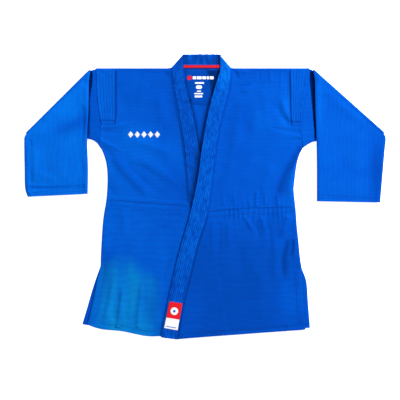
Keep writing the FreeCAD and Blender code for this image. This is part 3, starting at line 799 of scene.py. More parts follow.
RIGHT_FOLDS = [
    (((-270, 166), (-238, 122), (-200, 80), (-150, 34)), 20, 13, 2.2, 0.2, 0.2),
    (((-236, 154), (-200, 116), (-152, 74), (-100, 38)), 11, 13, -2.4, 0.25, 0.25),
    (((-219, 201), (-168, 192), (-117, 174), (-81, 147)), 16, 14, 1.8, 0.25, 0.25),
    (((-219, 135), (-171, 114), (-123, 78), (-81, 45)), 10, 12, -1.1, 0.3, 0.3),
    (((-201, 150), (-147, 126), (-93, 90), (-57, 54)), 12, 12, 1.3, 0.3, 0.3),
    (((-288, 114), (-282, 69), (-255, 30)), 10, 10, -1.4, 0.2, 0.3),
    (((-145.2, 411), (-148.8, 384), (-151.8, 348)), 4, 5, -1.1, 0.15, 0.4),
    (((-165, 396), (-177, 354), (-186, 294)), 12, 12, 0.9, 0.3, 0.4),
    (((-105, 360), (-96, 312), (-90, 252)), 10, 8, -1.5, 0.3, 0.4),
    (((-129, 354), (-123, 300), (-114, 240)), 12, 12, 0.9, 0.3, 0.3),
    (((-243, 348), (-228, 312), (-210, 276)), 14, 14, -0.9, 0.3, 0.3),
    (((-336, 246), (-303, 243), (-249, 247.2), (-183, 258)), 5, 6, 1.4, 0.15, 0.5),
    (((-327, 228), (-291, 228.6), (-237, 228)), 5, 6, -1.6, 0.15, 0.5),
    (((-339, 210), (-303, 204), (-255, 180), (-213, 162)), 5, 7, 1.4, 0.1, 0.5),
    (((-312, 189), (-279, 168), (-255, 144)), 6, 7, -1.5, 0.2, 0.4),
    (((-303, 150), (-291, 108), (-285, 54)), 8, 8, 1.2, 0.2, 0.3),
    (((-291, -18), (-285, -84), (-291, -150)), 14, 14, 1.1, 0.2, 0.3),
    (((-237, 6), (-231, -42), (-234, -96)), 10, 10, 0.9, 0.2, 0.5),
    (((-165, 0), (-165, -66), (-177, -144)), 16, 16, -0.9, 0.2, 0.4),
    (((-285, -150), (-294, -231), (-309, -330)), 9, 10, -2, 0.25, 0.1),
    (((-261, -204), (-273, -276), (-288, -336)), 8, 8, 1.6, 0.3, 0.05),
    (((-250.2, -240), (-261, -294), (-270.6, -342)), 6, 6, -1.7, 0.3, 0.05),
    (((-234, -228), (-241.5, -294), (-252, -360)), 9, 5, 2.6, 0.3, 0.02),
    (((-220.2, -270), (-225, -318), (-228, -360)), 6, 8, -2, 0.3, 0.02),
    (((-177.6, -210), (-181.5, -276), (-190.8, -360)), 7, 7, 2, 0.3, 0.02),
    (((-151.5, -234), (-159, -294), (-169.2, -360)), 9, 11, -1.8, 0.3, 0.02),
    (((-117, -186), (-123, -264), (-135, -354)), 12, 12, 1, 0.3, 0.1),
    (((-93, -96), (-111, -186), (-123, -264)), 14, 12, -0.8, 0.3, 0.3),
]
RIGHT_LAPEL_FOLDS = [
    (((-70.5, 311.5), (-54, 317), (-33, 323.4)), 3, 3.5, -1.2, 0.3, 0.02),
    (((-69, 297), (-48, 303), (-30, 309)), 5, 6, 0.7, 0.1, 0.1),
    (((-84, 366), (-60, 372), (-42, 375)), 4, 4, -0.5, 0.1, 0.1),
    (((-60, 240), (-27, 249)), 4, 4, -0.5, 0.1, 0.1),
    (((-45, 174), (-21, 180)), 4, 4, -0.5, 0.1, 0.1),
]
NECK_FOLDS = [
    (((-1.5, 462), (-4.2, 432)), 4, 4, -0.9, 0.1, 0.3),
    (((16.8, 462), (15, 432)), 4, 4, -0.7, 0.1, 0.3),
    (((34.8, 462), (33, 429)), 4, 3, -0.8, 0.1, 0.3),
    (((-24, 459), (-27, 432)), 5, 4, -0.5, 0.1, 0.3),
    (((-12, 459), (-15, 426)), 4, 4, 0.4, 0.1, 0.3),
    (((-42, 456), (-46.5, 426)), 3, 3, -0.8, 0.1, 0.1),
    (((51, 459), (54, 432)), 3, 3, -0.8, 0.1, 0.1),
]
RIGHT_SLEEVE_FOLDS = [
    (((-351, 384), (-411, 327), (-483, 258)), 14, 16, 2.4, 0.15, 0.15),
    (((-343, 300), (-369, 282), (-405, 262), (-453, 242), (-489, 226)),
     15, 17, -3, 0.1, 0.35),
    (((-348, 258), (-375, 240), (-417, 216)), 12, 14, 1, 0.2, 0.4),
    (((-345, 288), (-351, 252), (-351, 210)), 9, 8, -1.6, 0.15, 0.2),
    (((-512.2, 205), (-511, 180)), 4.5, 6, -1.3, 0.3, 0.3),
    (((-513, 132), (-511.2, 96), (-510, 66)), 4.5, 6, -1.2, 0.4, 0.2),
    (((-498, 186), (-498, 126), (-495, 72)), 8, 8, 1.2, 0.2, 0.2),
    (((-531, 205.5), (-519, 204.6), (-507, 199.5)), 3, 3, -1.2, 0.05, 0.3),
    (((-519, 84), (-483, 74), (-435, 68)), 5, 8, -0.5, 0.1, 0.4),
    (((-501, 114), (-471, 96), (-423, 84)), 12, 12, 1.2, 0.2, 0.4),
    (((-471, 204), (-465, 144), (-459, 84)), 14, 14, -0.7, 0.3, 0.3),
    (((-423, 204), (-420, 144), (-417, 78)), 14, 14, 0.7, 0.3, 0.3),
    (((-357, 150), (-355.5, 120), (-357, 90)), 8, 8, -1, 0.3, 0.3),
    (((-525, 63.4), (-480, 60), (-420, 60.2), (-345, 66.2)), 3, 6, -2.0, 0.03, 0.03),
]
LEFT_SLEEVE_FOLDS = [
    (((357, 372), (423, 306), (507, 240)), 12, 16, 1.2, 0.2, 0.2),
    (((393, 294), (417, 204), (429, 84)), 18, 20, -0.7, 0.3, 0.3),
    (((465, 234), (471, 144), (465, 54)), 18, 18, 0.7, 0.3, 0.3),
    (((519, 204), (516, 132), (510, 60)), 8, 10, -0.8, 0.2, 0.2),
    (((363, 264), (363, 174), (360, 54)), 12, 12, 0.6, 0.3, 0.3),
]
# gathers at the waist: (x, length below, length above, width, height, lean, next valley)
LEFT_RIDGES = [
    (75, 32, 11, 2.7, 1.78, -0.07, -1.55), (88.8, 20, 17, 3.52, 2.06, 0.11, -1.66),
    (102.6, 40, 11, 3.38, 2.08, -0.04, -2.16), (114.9, 26, 17, 3.41, 2.06, -0.06, -1.72),
    (129.6, 40, 5, 3.44, 1.74, 0, -1.67), (147, 32, 11, 2.88, 2.16, 0.13, -2.16),
    (163.8, 40, 5, 3.51, 1.9, 0.14, -2.09), (178.2, 32, 11, 3.02, 1.7, 0.02, -1.66),
    (192.9, 40, 5, 2.68, 1.82, 0.18, -1.86), (205.2, 20, 17, 2.94, 2.2, -0.06, -1.79),
    (219, 32, 17, 3.23, 1.69, -0.01, -2.02), (232.8, 40, 17, 3.16, 2.13, -0.09, -1.54),
    (246, 32, 11, 3.37, 1.93, -0.05, -1.73), (258, 32, 11, 3.06, 1.53, 0.09, -2.13),
]
RIGHT_RIDGES = [
    (-279, 23.5, 13.9, 4.34, 0.61, -0.08, -0.89), (-264, 21.8, 11.3, 4.32, 0.97, 0.13, -0.62),
    (-240, 15.9, 11.6, 3.19, 0.83, 0.18, -0.63), (-225, 14.1, 8.4, 3.24, 1.07, -0.05, -0.62),
    (-210, 15.0, 15.9, 3.59, 0.72, -0.18, -0.52), (-193.5, 15.7, 13.4, 3.21, 0.62, 0, -0.6),
    (-177, 24.0, 9.0, 3.74, 1.06, -0.04, -0.9), (-147, 18.8, 9.9, 3.57, 0.62, -0.03, -0.6),
    (-123, 22.9, 14.6, 3.7, 0.62, -0.1, -0.6), (-96, 16.1, 9.9, 4.22, 0.69, -0.18, -0.87),
    (-72, 19.7, 15.9, 3.56, 1.14, 0.06, -0.82), (-54, 21.4, 12.0, 3.13, 0.73, 0.15, -0.86),
]


def with_valleys(ridges, offset, below, above, width):
    """Each ridge is followed by a straight valley of a fixed size."""
    out = []
    for x, *ridge, depth in ridges:
        out += [(x, *ridge), (x + offset, below, above, width, depth, 0.0)]
    return out


LEFT_GATHERS = with_valleys(LEFT_RIDGES, offset=6.4, below=20, above=3.5, width=2.4)
RIGHT_GATHERS = with_valleys(RIGHT_RIDGES, offset=7, below=12, above=7, width=2.8)


def gathers(x, y, seam, table):
    """Short ridges where the skirt is gathered into the waist seam."""
    z = np.zeros(np.shape(x))
    rise = y - seam(x)
    for centre, below, above, width, height, lean in table:
        shape = bell((x - (centre + lean * rise)) / width)
        fade = np.exp(-((np.abs(rise) / np.where(rise < 0, below, above)) ** 1.5))
        z += height * shape * fade
    return z


# ---- how light or dark each area of cloth is
# the back and its yoke lining are darkened as painted shade, for lying deep under the fronts and
# lapels
BACK_TONE, YOKE_TONE, NECK_TONE = 0.80, 0.66, 0.74
ROOT_TONE = {"left": 0.90, "right": 0.87}  # sleeve between armhole and fold


def near_curve(x, y, line, half, y0, y1, soft=12.0):
    """1 beside a curve given as x of y, between two heights."""
    ends = smooth(y0 - soft, y0 + soft, y) * smooth(y1 + soft, y1 - soft, y)
    return bell((x - line(y)) / half) * ends


def shadow_beside_right_lapel(x, y):
    # painted shadow: a faint dark line on the back beside the right lapel's inner edge
    return 1 - 0.14 * near_curve(x - 1.8, y, RIGHT.lapel_in, 4.0, 150, 400, 20.0)


def left_shadow_lines(x, y):
    # painted shade: dark lines under the left lapel's outer edge, beside the shoulder band and
    # along a skirt fold and a chest fold
    tone = 1 - 0.50 * near_curve(x - 1.5, y, LEFT.lapel_out, 2.4, -392, -20)
    tone -= 0.12 * near_curve(x - 1.5, y, LEFT.lapel_out, 4.0, -20, 417)
    band = bent([247, 291, 417], [272.2, 269.3, 266.3])
    tone *= 1 - 0.7 * near_curve(x, y, band, 2.0, 250, 410, 4.0)
    skirt = bent([-216, -159, -126, -96], [250, 248, 254, 263])
    tone *= 1 - 0.36 * near_curve(x, y, skirt, 8.0, -206, -102, 22.0)
    chest = bent([30, 66, 107, 153, 186], [230, 239, 256, 281, 305])
    return tone * (1 - 0.32 * near_curve(x, y, chest, 12.0, 34, 180, 20.0))


def right_shadow_lines(x, y):
    # painted shade: the left lapel's shadow on the right front, dark lines along the right
    # lapel's outer edge and along both edges of the shoulder band
    tone = 1 - 0.20 * near_curve(x + 0.5, y, LEFT.lapel_in, 2.4, -394, 130)
    tone *= 1 - 0.5 * near_curve(x + 1.0, y, RIGHT.lapel_out, 2.2, 10, 260, 30.0)
    tone *= 1 - 0.18 * near_curve(x + 2.0, y, RIGHT.lapel_out, 4.0, 260, 417)
    band_in = bent([250, 279, 417], [-260.0, -255.8, -255.8])
    tone *= 1 - 0.75 * near_curve(x, y, band_in, 2.0, 252, 412, 4.0)
    band_out = bent([250, 285, 336], [-299.5, -306.5, -312.5])
    return tone * (1 - 0.75 * near_curve(x, y, band_out, 2.6, 254, 330, 14.0))


def shade(x, y, table):
    """Soft areas of painted light and painted shade."""
    tone = np.ones(np.shape(x))
    for centre_x, centre_y, half_length, half_width, turn, amount in table:
        cos, sin = math.cos(math.radians(turn)), math.sin(math.radians(turn))
        dx, dy = x - centre_x, y - centre_y
        u, v = dx * cos + dy * sin, -dx * sin + dy * cos
        tone = tone * (1 + amount * np.exp(-((u / half_length) ** 2 + (v / half_width) ** 2)))
    return tone


# (x, y, half length, half width, turn in degrees, how much lighter or darker)
LEFT_SHADE = [
    (215, 409, 110, 16, 0, -0.08), (132, 280, 12, 46, 0, -0.12), (254, 290, 18, 55, 0, 0.11),
    (281, 74, 17, 84, 0, 0.16), (178, 275, 28, 36, 0, 0.09), (225, 0, 10, 34, 0, -0.08),
    (240, -48, 62, 46, 0, -0.10), (290, -36, 22, 50, 0, -0.05), (308, -230, 13, 90, 0, 0.19),
    (263, -274, 32, 68, 0, 0.19), (117, -250, 55, 60, 0, -0.07), (-28, -320, 44, 75, -14, 0.14),
    (60, 40, 30, 60, 0, -0.03), (95, 205, 55, 70, 0, -0.02), (250, -92, 40, 40, 0, 0.06),
]
RIGHT_SHADE = [
    (-183, 222, 58, 42, -10, 0.08), (-196, 98, 80, 16, -38, -0.10),
    (-272, 124, 34, 16, -45, 0.07), (-55, 45, 30, 55, 0, -0.13),
    (-92, 85, 30, 48, -20, -0.07), (-283, -198, 20, 58, 0, -0.19),
    (-168, 186, 66, 46, -30, 0.08), (-92, 405, 16, 14, 0, -0.12),
    (-136, -236, 12, 30, 0, -0.06), (-240, -150, 46, 44, 0, -0.06),
    (-165, -282, 18, 52, 6, -0.07), (-243, -334, 8, 36, 6, -0.09),
    (-268, -325, 9, 40, 6, 0.07), (-110, 250, 34, 90, -8, -0.05), (-96, -40, 30, 40, 0, -0.07),
]
RIGHT_SLEEVE_SHADE = [
    (-386, 248, 64, 19, 20, -0.21), (-349, 262, 13, 34, 0, -0.08), (-352, 330, 12, 40, 0, 0.05),
    (-528, 110, 10, 90, 0, -0.12), (-526, 62, 20, 12, 0, -0.08), (-503, 110, 16, 76, 0, 0.06),
    (-470, 62, 70, 5, 1, -0.12), (-440, 312, 66, 16, 45, 0.05), (-400, 345, 90, 9, 43, -0.10),
    (-360, 66, 26, 26, 0, -0.05),
]
LEFT_SLEEVE_SHADE = [
    (527, 110, 23, 110, 0, -0.23), (357, 330, 17, 90, 0, 0.09), (455, 322, 100, 9, -42, -0.10),
]
# painted light on the strips of back seen at the vents, where the fronts cast shadow
BACK_SHADE = [(-336, -300, 14, 80, -14, 0.72), (323, -270, 14, 100, 4, 0.52)]
NECK_SHADE = [
    (-2, 447, 5, 12, 22, -0.25), (17, 446, 4, 13, 22, -0.20), (33, 444, 4, 14, 10, -0.22),
    (50, 442, 7, 26, 0, -0.40), (-46, 447, 5, 16, 0, -0.25), (-24, 444, 7, 14, 10, -0.12),
    (8, 440, 6, 12, 0, 0.10), (-36, 452, 6, 6, 0, 0.10),
]
RIGHT_LAPEL_SHADE = [
    (-42, 317, 13, 4.5, 12, -0.35), (-66, 326, 10, 4, 20, -0.15), (-80, 385, 8, 14, 0, -0.22),
    (-62, 348, 10, 18, 0, -0.06),
]


# ---- heights of the upper faces
def z_back(x, y):
    return BACK_Z + 0.15 * layered_noise(x, y, 70.0, 5, 2)


def z_back_skirt(x, y):
    return np.maximum(z_back(x, y) + 0.4 * np.sin(x / 23.0) * smooth(-250, -369, y), 1.95)


def keep_above(z, floor, soft=0.25):
    """Cloth rests on what is under it: a rounded lower limit."""
    return floor + soft * np.logaddexp(0, (z - floor) / soft)


def rest_height(x, y, side, at_waist):
    """Lowest height of a front that clears the back and the tapes and turned edges between."""
    inset = (side.edge(y) - x) * side.sign
    above = y - side.waist(x)
    near_hem = smooth(44, 28, y - side.hem(x))
    near_vent = smooth(44, 28, inset) * smooth(side.vent_y + 14, side.vent_y - 2, y)
    rest = at_waist * smooth(-24, -13, above) * smooth(26, 16, above)
    rest = np.maximum(np.maximum(rest, 2.0 * near_hem), 2.1 * near_vent)
    rest = 4.9 + np.maximum(rest, 1.5 * smooth(358, 370, y))
    # sewn down along the side seam and the shoulder
    seam = smooth(16, 10, inset) * smooth(side.vent_y - 22, side.vent_y, y)
    return rest - 9.0 * np.maximum(seam, smooth(14, 9, SHOULDER_Y - y))


def side_roll(x, y, side, top_z, settle):
    """The fronts turn down to the back at the side seam.

    They run level into the sleeve above it and into the free vent below it.
    """
    inset = (side.edge(y) - x) * side.sign
    sewn = smooth(214, 172, y) * smooth(side.vent_y - 26, side.vent_y, y)
    free = smooth(side.vent_y, side.vent_y - 26, y)
    return drop(inset, 10.0, top_z - SEAM_Z) * sewn + drop(inset, 14.0, settle) * free


def soft_shoulder(y):
    """Relief fades to a quarter at the shoulder."""
    return np.minimum(1, np.clip((SHOULDER_Y - y) / 10, 0, 1) + 0.25)


def z_left_base(x, y):
    """The left front lies higher where it covers the right lapel."""
    return LEFT_Z + 4.0 * (1 - smooth(RIGHT.lapel_in(y) + 6, RIGHT.lapel_in(y) + 96, x))


def z_left(x, y):
    base = z_left_base(x, y)
    relief = folds(x, y, LEFT_FOLDS) + gathers(x, y, LEFT.waist, LEFT_GATHERS)
    relief += 0.55 * layered_noise(x, y, (55.0, 90.0), 21, 3, 0.3)
    relief += 0.24 * layered_noise(x, y, (16.0, 25.0), 61, 2, 0.2) + draped(LEFT, x, y)
    z = base + relief * soft_shoulder(y)
    z -= side_roll(x, y, LEFT, LEFT_Z, settle=3.8)
    z -= drop(LEFT.edge(y) - x, 34.0, 2.0) * smooth(176, 204, y) * smooth(275, 245, y)
    z -= drop(SHOULDER_Y - y, 9.0, 5.4) * smooth(330, 318, x)
    z -= drop(y - LEFT.hem(x), 5.0, 0.9)
    rest = rest_height(x, y, LEFT, at_waist=3.1)
    overlap = 1 - smooth(RIGHT.lapel_in(y) + 4, RIGHT.lapel_in(y) + 13, x)
    overlap = overlap * smooth(210, 180, y)
    on_lapel = 13.2 + 1.0 * smooth(44, 28, y - LEFT.hem(x))
    return keep_above(z, rest * (1 - overlap) + on_lapel * overlap)


def z_right(x, y):
    under = smooth(LEFT.lapel_in(y) - 26, LEFT.lapel_in(y) - 2, x)
    relief = folds(x, y, RIGHT_FOLDS) + 0.55 * gathers(x, y, RIGHT.waist, RIGHT_GATHERS)
    relief += 0.55 * layered_noise(x, y, (60.0, 80.0), 41, 3, -0.4)
    relief += 0.26 * layered_noise(x, y, (15.0, 26.0), 62, 2, -0.2) + draped(RIGHT, x, y)
    z = RIGHT_Z + relief * soft_shoulder(y) * (1 - 0.85 * under)
    z = np.where(under > 0.01, np.minimum(z, RIGHT_Z + 0.1 + 4 * (1 - under)), z)
    z -= side_roll(x, y, RIGHT, RIGHT_Z, settle=2.2)
    z -= drop(SHOULDER_Y - y, 9.0, 4.2)
    z -= drop(y - RIGHT.hem(x), 5.0, 0.9)
    return keep_above(z, rest_height(x, y, RIGHT, at_waist=2.6))


LEFT.z, RIGHT.z = z_left, z_right


# ---- ways of moving (places in metres)
def rides(part):
    return lambda ob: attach(ob, part)


def blends():
    return lambda ob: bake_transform(ob)


def blends_over(line, toward):
    """Bakes the placement into the mesh, as blends() does; the way across the fold line is found
    but not used.
    """
    _, (nx, ny) = off_line(0.0, 0.0, line, toward)
    return blends()


MOVES = {
    "torso": rides("torso"),
    "left_front": blends_over(LEFT_FRONT_FOLD, (-100, -300)),
    "right_front": blends_over(RIGHT_FRONT_FOLD, (50, -300)),
    "left_lapel": blends(),
    "right_lapel": blends(),
    "left_sleeve": blends(),
    "right_sleeve": blends(),
    "on_left_front": rides("left_front"),
    "on_left_sleeve": rides("left_sleeve"),
    "on_right_sleeve": rides("right_sleeve"),
}


def register(ob, move, slot, *replaced):
    MOVES[move](ob)
    if replaced:
        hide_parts(*replaced)


# ---- the back
drape_front(LEFT, z_left_base, seed=3)
drape_front(RIGHT, lambda x, y: RIGHT_Z + 0 * x, seed=4)

BACK_CUT_Y = 4.0  # between the back and its skirt


def back_top(x):
    return 422.5 - 3.4 * smooth(80, 100, np.abs(x))


def back_start(y):
    return RIGHT.back_edge(y) + RIM


def back_end(y):
    return LEFT.back_edge(y) - RIM


def back_tone(x, y):
    # painted light on the back between the lapels and painted shadow beside the left lapel's
    # inner edge
    light = 0.06 * bell((x + 10) / 24.0) * smooth(120, 180, y) * smooth(330, 300, y)
    dark = 0.13 * bell((x - 12) / 11.0) * smooth(180, 250, y)
    return BACK_TONE * (1 + light) * (1 - dark) * shadow_beside_right_lapel(x, y)


back_columns = steps((0.01, 0.004), (0.99, 0.0075), (1.0, 0.004))
x, y = panel(back_top, level(BACK_CUT_Y + 3.0), back_start, back_end,
             steps((0.03, 0.01), (0.97, 0.018), (1.0, 0.01)), back_columns)
ob = sheet("back_cloth", x, y, z_back(x, y), CLOTH, BODY, back_tone(x, y))
register(ob, "torso", "body_cloth", "back_panel")
x, y = panel(level(BACK_CUT_Y + 1.0), lambda x: back_hem(x) + RIM, back_start, back_end,
             steps((0.03, 0.01), (0.97, 0.018), (1.0, 0.008)), back_columns)
ob = sheet("back_skirt_cloth", x, y, z_back_skirt(x, y), CLOTH, SKIRT,
           BACK_TONE * shade(x, y, BACK_SHADE))
register(ob, "torso", "body_cloth", "back_skirt")


def along_x(seam, x_from, x_to, count, offset):
    """Plan points at a distance above a seam."""
    x = np.linspace(x_from, x_to, count)
    return np.stack([x, seam(x) + offset], 1)


def along_y(edge, y_from, y_to, count, offset):
    """Plan points beside an edge."""
    y = np.linspace(y_from, y_to, count)
    return np.stack([edge(y) + offset, y], 1)


def vent_edges(side, points, lowest, inset):
    """The two edges of the turned cloth along a vent."""
    line = curve(points, 8.0)[1:]
    line = line[line[:, 1] > lowest]
    return line - [side.sign * inset, 0], line - [side.sign * 21, 0]


def lining_patch(name, edges, surface, move, *replaced, lift, thick, gap, tone=0.8):
    """A flat patch between two lines (each listed the same way), laid on a surface."""
    one, two = (curve(edge, 4.0) for edge in edges)
    length = max(run_lengths(one)[-1], run_lengths(two)[-1])
    width = max(np.linalg.norm(one[0] - two[0]), np.linalg.norm(one[-1] - two[-1]))
    n = max(4, int(length / gap) + 1)
    m = max(4, int(width / gap) + 2)
    u = np.linspace(0, 1, m)[None, :, None]
    plan = spaced(one, n)[:, None, :] * (1 - u) + spaced(two, n)[:, None, :] * u
    x, y = plan[..., 0], plan[..., 1]
    tone = tone(x, y) if callable(tone) else tone
    ob = sheet(name, x, y, surface(x, y) + lift, thick, LINING, tone)
    register(ob, move, "facing_cloth", *replaced)


def yoke_tone(x, y):
    """Painted shadow beside the left lapel and in the corner by the right lapel."""
    edge = np.interp(y, [330, 369, 395, 417], [33, 27, 23, 14])
    shadow_by_left_lapel = smooth(-4, 5, x - edge) * smooth(318, 346, y) * smooth(62, 56, x)
    corner = np.exp(-(((x + 46) / 7.0) ** 2 + ((y - 411) / 9.0) ** 2))
    tone = YOKE_TONE * shadow_beside_right_lapel(x, y) * (1 - 0.58 * shadow_by_left_lapel) * (1 - 0.30 * corner)
    return tone * (1 - 0.10 * smooth(0, 20, x)) * (1 + 0.06 * smooth(370, 330, y))


lining_patch("yoke_lining",
             (((-280, 413), (-274, 360), (-270, 310.5)), ((284, 413), (280, 360), (276, 310.5))),
             z_back, "torso", "back_yoke_lining", lift=0.95, thick=0.8, gap=5.0, tone=yoke_tone)
lining_patch("back_waist_tape_cloth",
             [[(x, y) for x in (-280, 0, 276)] for y in (12.5, -4.5)],
             z_back, "torso", "back_waist_tape", lift=0.95, thick=0.8, gap=6.0)
lining_patch("back_hem_turning",
             [along_x(back_hem, -326, 298, 60, rise) for rise in (24, 1.8)],
             z_back_skirt, "torso", "back_hem_facing", lift=0.95, thick=0.8, gap=6.0)
for side in SIDES:
    lining_patch(side.name + "_back_vent_turning",
                 vent_edges(side, side.back_vent, lowest=-352, inset=1.8),
                 z_back_skirt, "torso", side.name + "_back_vent_facing",
                 lift=0.98, thick=0.75, gap=6.0, tone=0.85)

# ---- the two fronts
FRONT_COLUMNS = steps((0.012, 0.004), (0.06, 0.009), (0.95, 0.0095), (0.988, 0.006), (1.0, 0.003))
CHEST_ROWS = steps((0.03, 0.005), (0.955, 0.0072), (1.0, 0.004))
SKIRT_ROWS = steps((0.07, 0.006), (0.93, 0.008), (1.0, 0.004))
LAPEL_COVER = 7.0  # how far the fronts run under the lapels


def left_tone(x, y):
    tone = 0.85 + 0.06 * smooth(60, 290, x) + 0.01 * smooth(180, 300, y)
    tone = tone * (1.0 - 0.17 * smooth(10, -140, y))
    below_waist = smooth(-180, -60, y) * smooth(60, -40, y)
    tone = tone * (1.0 + 0.03 * smooth(40, 210, x) * below_waist)
    return tone * left_shadow_lines(x, y) * shade(x, y, LEFT_SHADE)


def right_tone(x, y):
    tone = (0.92 - 0.07 * smooth(150, 330, y)) * (1 + 0.05 * smooth(-120, -260, x))
    return tone * right_shadow_lines(x, y) * shade(x, y, RIGHT_SHADE)


LEFT.tone, RIGHT.tone = left_tone, right_tone


def right_teal(x, y):
    """Where the lower skirt turns towards green-blue."""
    start = np.interp(y, [-342, -174, -123], [-318, -300, -222])
    end = np.interp(y, [-384, -219, -123], [-123, -126, -214])
    faded = smooth(-26, 18, x - start) * smooth(-26, 62, end - x) * smooth(-110, -210, y)
    return np.clip(faded * (0.72 + 0.35 * layered_noise(x, y, (34.0, 120.0), 77, 2)), 0, 1)


def front(side, part):
    def inner(y):
        return side.lapel_out(y) - side.sign * LAPEL_COVER

    def outer(y):
        return side.edge(y) - side.sign * RIM

    def cut(x):
        return side.waist(x) + WAIST_RISE

    teal = 0.0
    thick = CLOTH
    if part == "chest":
        x, y = panel(level(SHOULDER_Y - RIM), cut, inner, outer, CHEST_ROWS, FRONT_COLUMNS)
        z = side.z(x, y) + 0.15 * smooth(cut(x) + 6.0, cut(x), y)
        thick = CLOTH - side.chest_thin * smooth(side.waist(x) + 17.0, side.waist(x) + 13.0, y)
        mat, replaced = BODY, ("_chest_panel", "_side_panel")
    else:
        x, y = panel(lambda x: cut(x) + 5.0, lambda x: side.hem(x) + RIM, inner, outer,
                     SKIRT_ROWS, FRONT_COLUMNS)
        z = side.z(x, y) - side.seam_step * smooth(cut(x) - 2.5, cut(x) + 1.0, y)
        mat, replaced = SKIRT, ("_front_skirt", "_side_skirt")
        if side is RIGHT:
            teal = right_teal(x, y)
    # the inner edge runs into the lapel
    z = z - (1 - smooth(0, 9.0, np.abs(x - inner(y)))) * side.inner_sink
    ob = sheet(f"{side.name}_{part}_cloth", x, y, z, thick, mat, side.tone(x, y), teal)
    register(ob, side.name + "_front", "body_cloth", *(side.name + end for end in replaced))


for side in SIDES:
    for part in ("chest", "skirt"):
        front(side, part)


# linings, tapes and turned edges on the inside of the fronts
def inside_of(side):
    return lambda x, y: side.z(x, y) - CLOTH


def inside_at_waist(side):
    def surface(x, y):
        waist = side.waist(x)
        return side.z(x, y) - CLOTH - side.seam_step * smooth(waist + 5.5, waist + 9.0, y)

    return surface


for side, x_from, x_to, lift in ((LEFT, 24, 272, -0.55), (RIGHT, -274, -38, -0.5)):
    name = side.name
    lining_patch(name + "_waist_tape",
                 [along_x(side.waist, x_from, x_to, 50, rise) for rise in (8.0, -8.5)],
                 inside_at_waist(side), name + "_front", name + "_front_waist_tape",
                 name + "_side_waist_tape", lift=lift, thick=0.7, gap=2.4)
for side, x_from, x_to, replaced in (
    (LEFT, -66, 289, ["left_front_hem_facing"]),
    (RIGHT, -313, 15, ["right_front_hem_facing", "right_side_hem_facing"]),
):
    lining_patch(side.name + "_hem_turning",
                 [along_x(side.hem, x_from, x_to, 60, rise) for rise in (24, 1.6)],
                 inside_of(side), side.name + "_front", *replaced,
                 lift=-0.35, thick=0.75, gap=3.0)
for side, lowest, move in ((LEFT, -361, "left_front"), (RIGHT, -346, "torso")):
    lining_patch(side.name + "_front_vent_turning",
                 vent_edges(side, side.front_vent, lowest, inset=1.6),
                 inside_of(side), move, side.name + "_front_vent_facing",
                 lift=-0.4, thick=0.75, gap=3.0, tone=0.85)
for side, upper, lower, lift in (
    (LEFT, (98, 170, 316), (90, 170, 310), -0.5),
    (RIGHT, (-96, -200, -308), (-94, -200, -306), -0.4),
):
    lining_patch(side.name + "_shoulder_lining_cloth",
                 ([(x, 404) for x in upper], [(x, 374) for x in lower]),
                 inside_of(side), "torso", side.name + "_shoulder_lining",
                 lift=lift, thick=0.7, gap=2.6)

# ---- lapels and neck band
LAPEL_TOPS = {  # outer and inner corner of the slanting upper end
    "left": ((91.5, 420.0), (55.5, 462.0)),
    "right": ((-90.0, 420.0), (-52.5, 462.0)),
}
LAPEL_COLUMNS = 50


def ribs_across(across, count, width):
    """Round ridges between rows of stitching."""
    phase = (across / width * count) % 1.0
    return 1 - np.abs(2 * phase - 1) ** 3.2


def lapel_taper(across, width, along):
    """How much thinner the flattened edges of the upper lapel are."""
    lower = smooth(400, 520, along)
    inner = (1.5 + 1.3 * lower) * bell((width - across) / 6.5)
    return inner + 0.9 * lower * bell(across / 6.0)


def lapel_grid(side):
    """The upper face of a lapel; u runs from its outer edge (0) to its inner edge (1)."""
    left = side is LEFT
    rows = steps((0.012, 0.0024), (0.99, 0.0030), (1.0, 0.0022))
    # keep the padded rim inside the outline at both ends
    rows = 0.0016 + rows * (1 - 0.0046)
    cols = np.linspace(0, 1, LAPEL_COLUMNS)
    top_out, top_in = LAPEL_TOPS[side.name]
    outer = resample(np.vstack([[top_out], side.lapel_out_line]), rows)
    inner = resample(np.vstack([[top_in], side.lapel_in_line]), rows)
    width = np.linalg.norm(inner - outer, axis=1)[:, None, None]
    trim = LAPEL_THICK / 2 / width
    plan = outer[:, None] + (inner - outer)[:, None] * (
        trim + (1 - 2 * trim) * cols[None, :, None])
    x, y, width = plan[..., 0], plan[..., 1], width[..., 0]
    u = cols[None, :] + 0 * x
    along = rows[:, None] * LAPEL_RUN + 0 * x
    if left:
        z = np.interp(along, [0, 30, 160, 300, 520, 700, 860],
                      [14.9, 15.2, 16.6, 17.2, 16.6, 15.2, 14.6])
        z = z + 1.2 * u * bell((along - 290) / 130.0)
        z = z + 0.9 * bell((1 - u) / 0.12) * bell((along - 300) / 160.0)
    else:
        z = np.interp(along, [0, 40, 200, 280, 350, 860], [10.7, 10.6, 10.5, 10.3, 9.8, 9.7])
        z = z - 0.7 * bell((1 - u) / 0.2) * bell((along - 150) / 90.0)
    across = u * (width - LAPEL_THICK)
    rib = ribs_across(across, LAPEL_RIBS, width - LAPEL_THICK)
    pucker = noise(along / 5.2, across / 5.2 + (31 if left else 62), 91)
    broad_pucker = noise(along / 9.5 + 7, across / 7.5, 92)
    z = z + 0.62 * rib * (0.75 + 0.45 * pucker) - 0.45 + 0.28 * broad_pucker
    if left:
        z = z - lapel_taper(u * width, width, along)
    else:
        z = z + folds(x, y, RIGHT_LAPEL_FOLDS)
    z = z - drop(along, 13.0, 7.4 if left else 3.9)
    return SimpleNamespace(x=x, y=y, z=z, u=u, along=along, across=across, rib=rib, width=width)


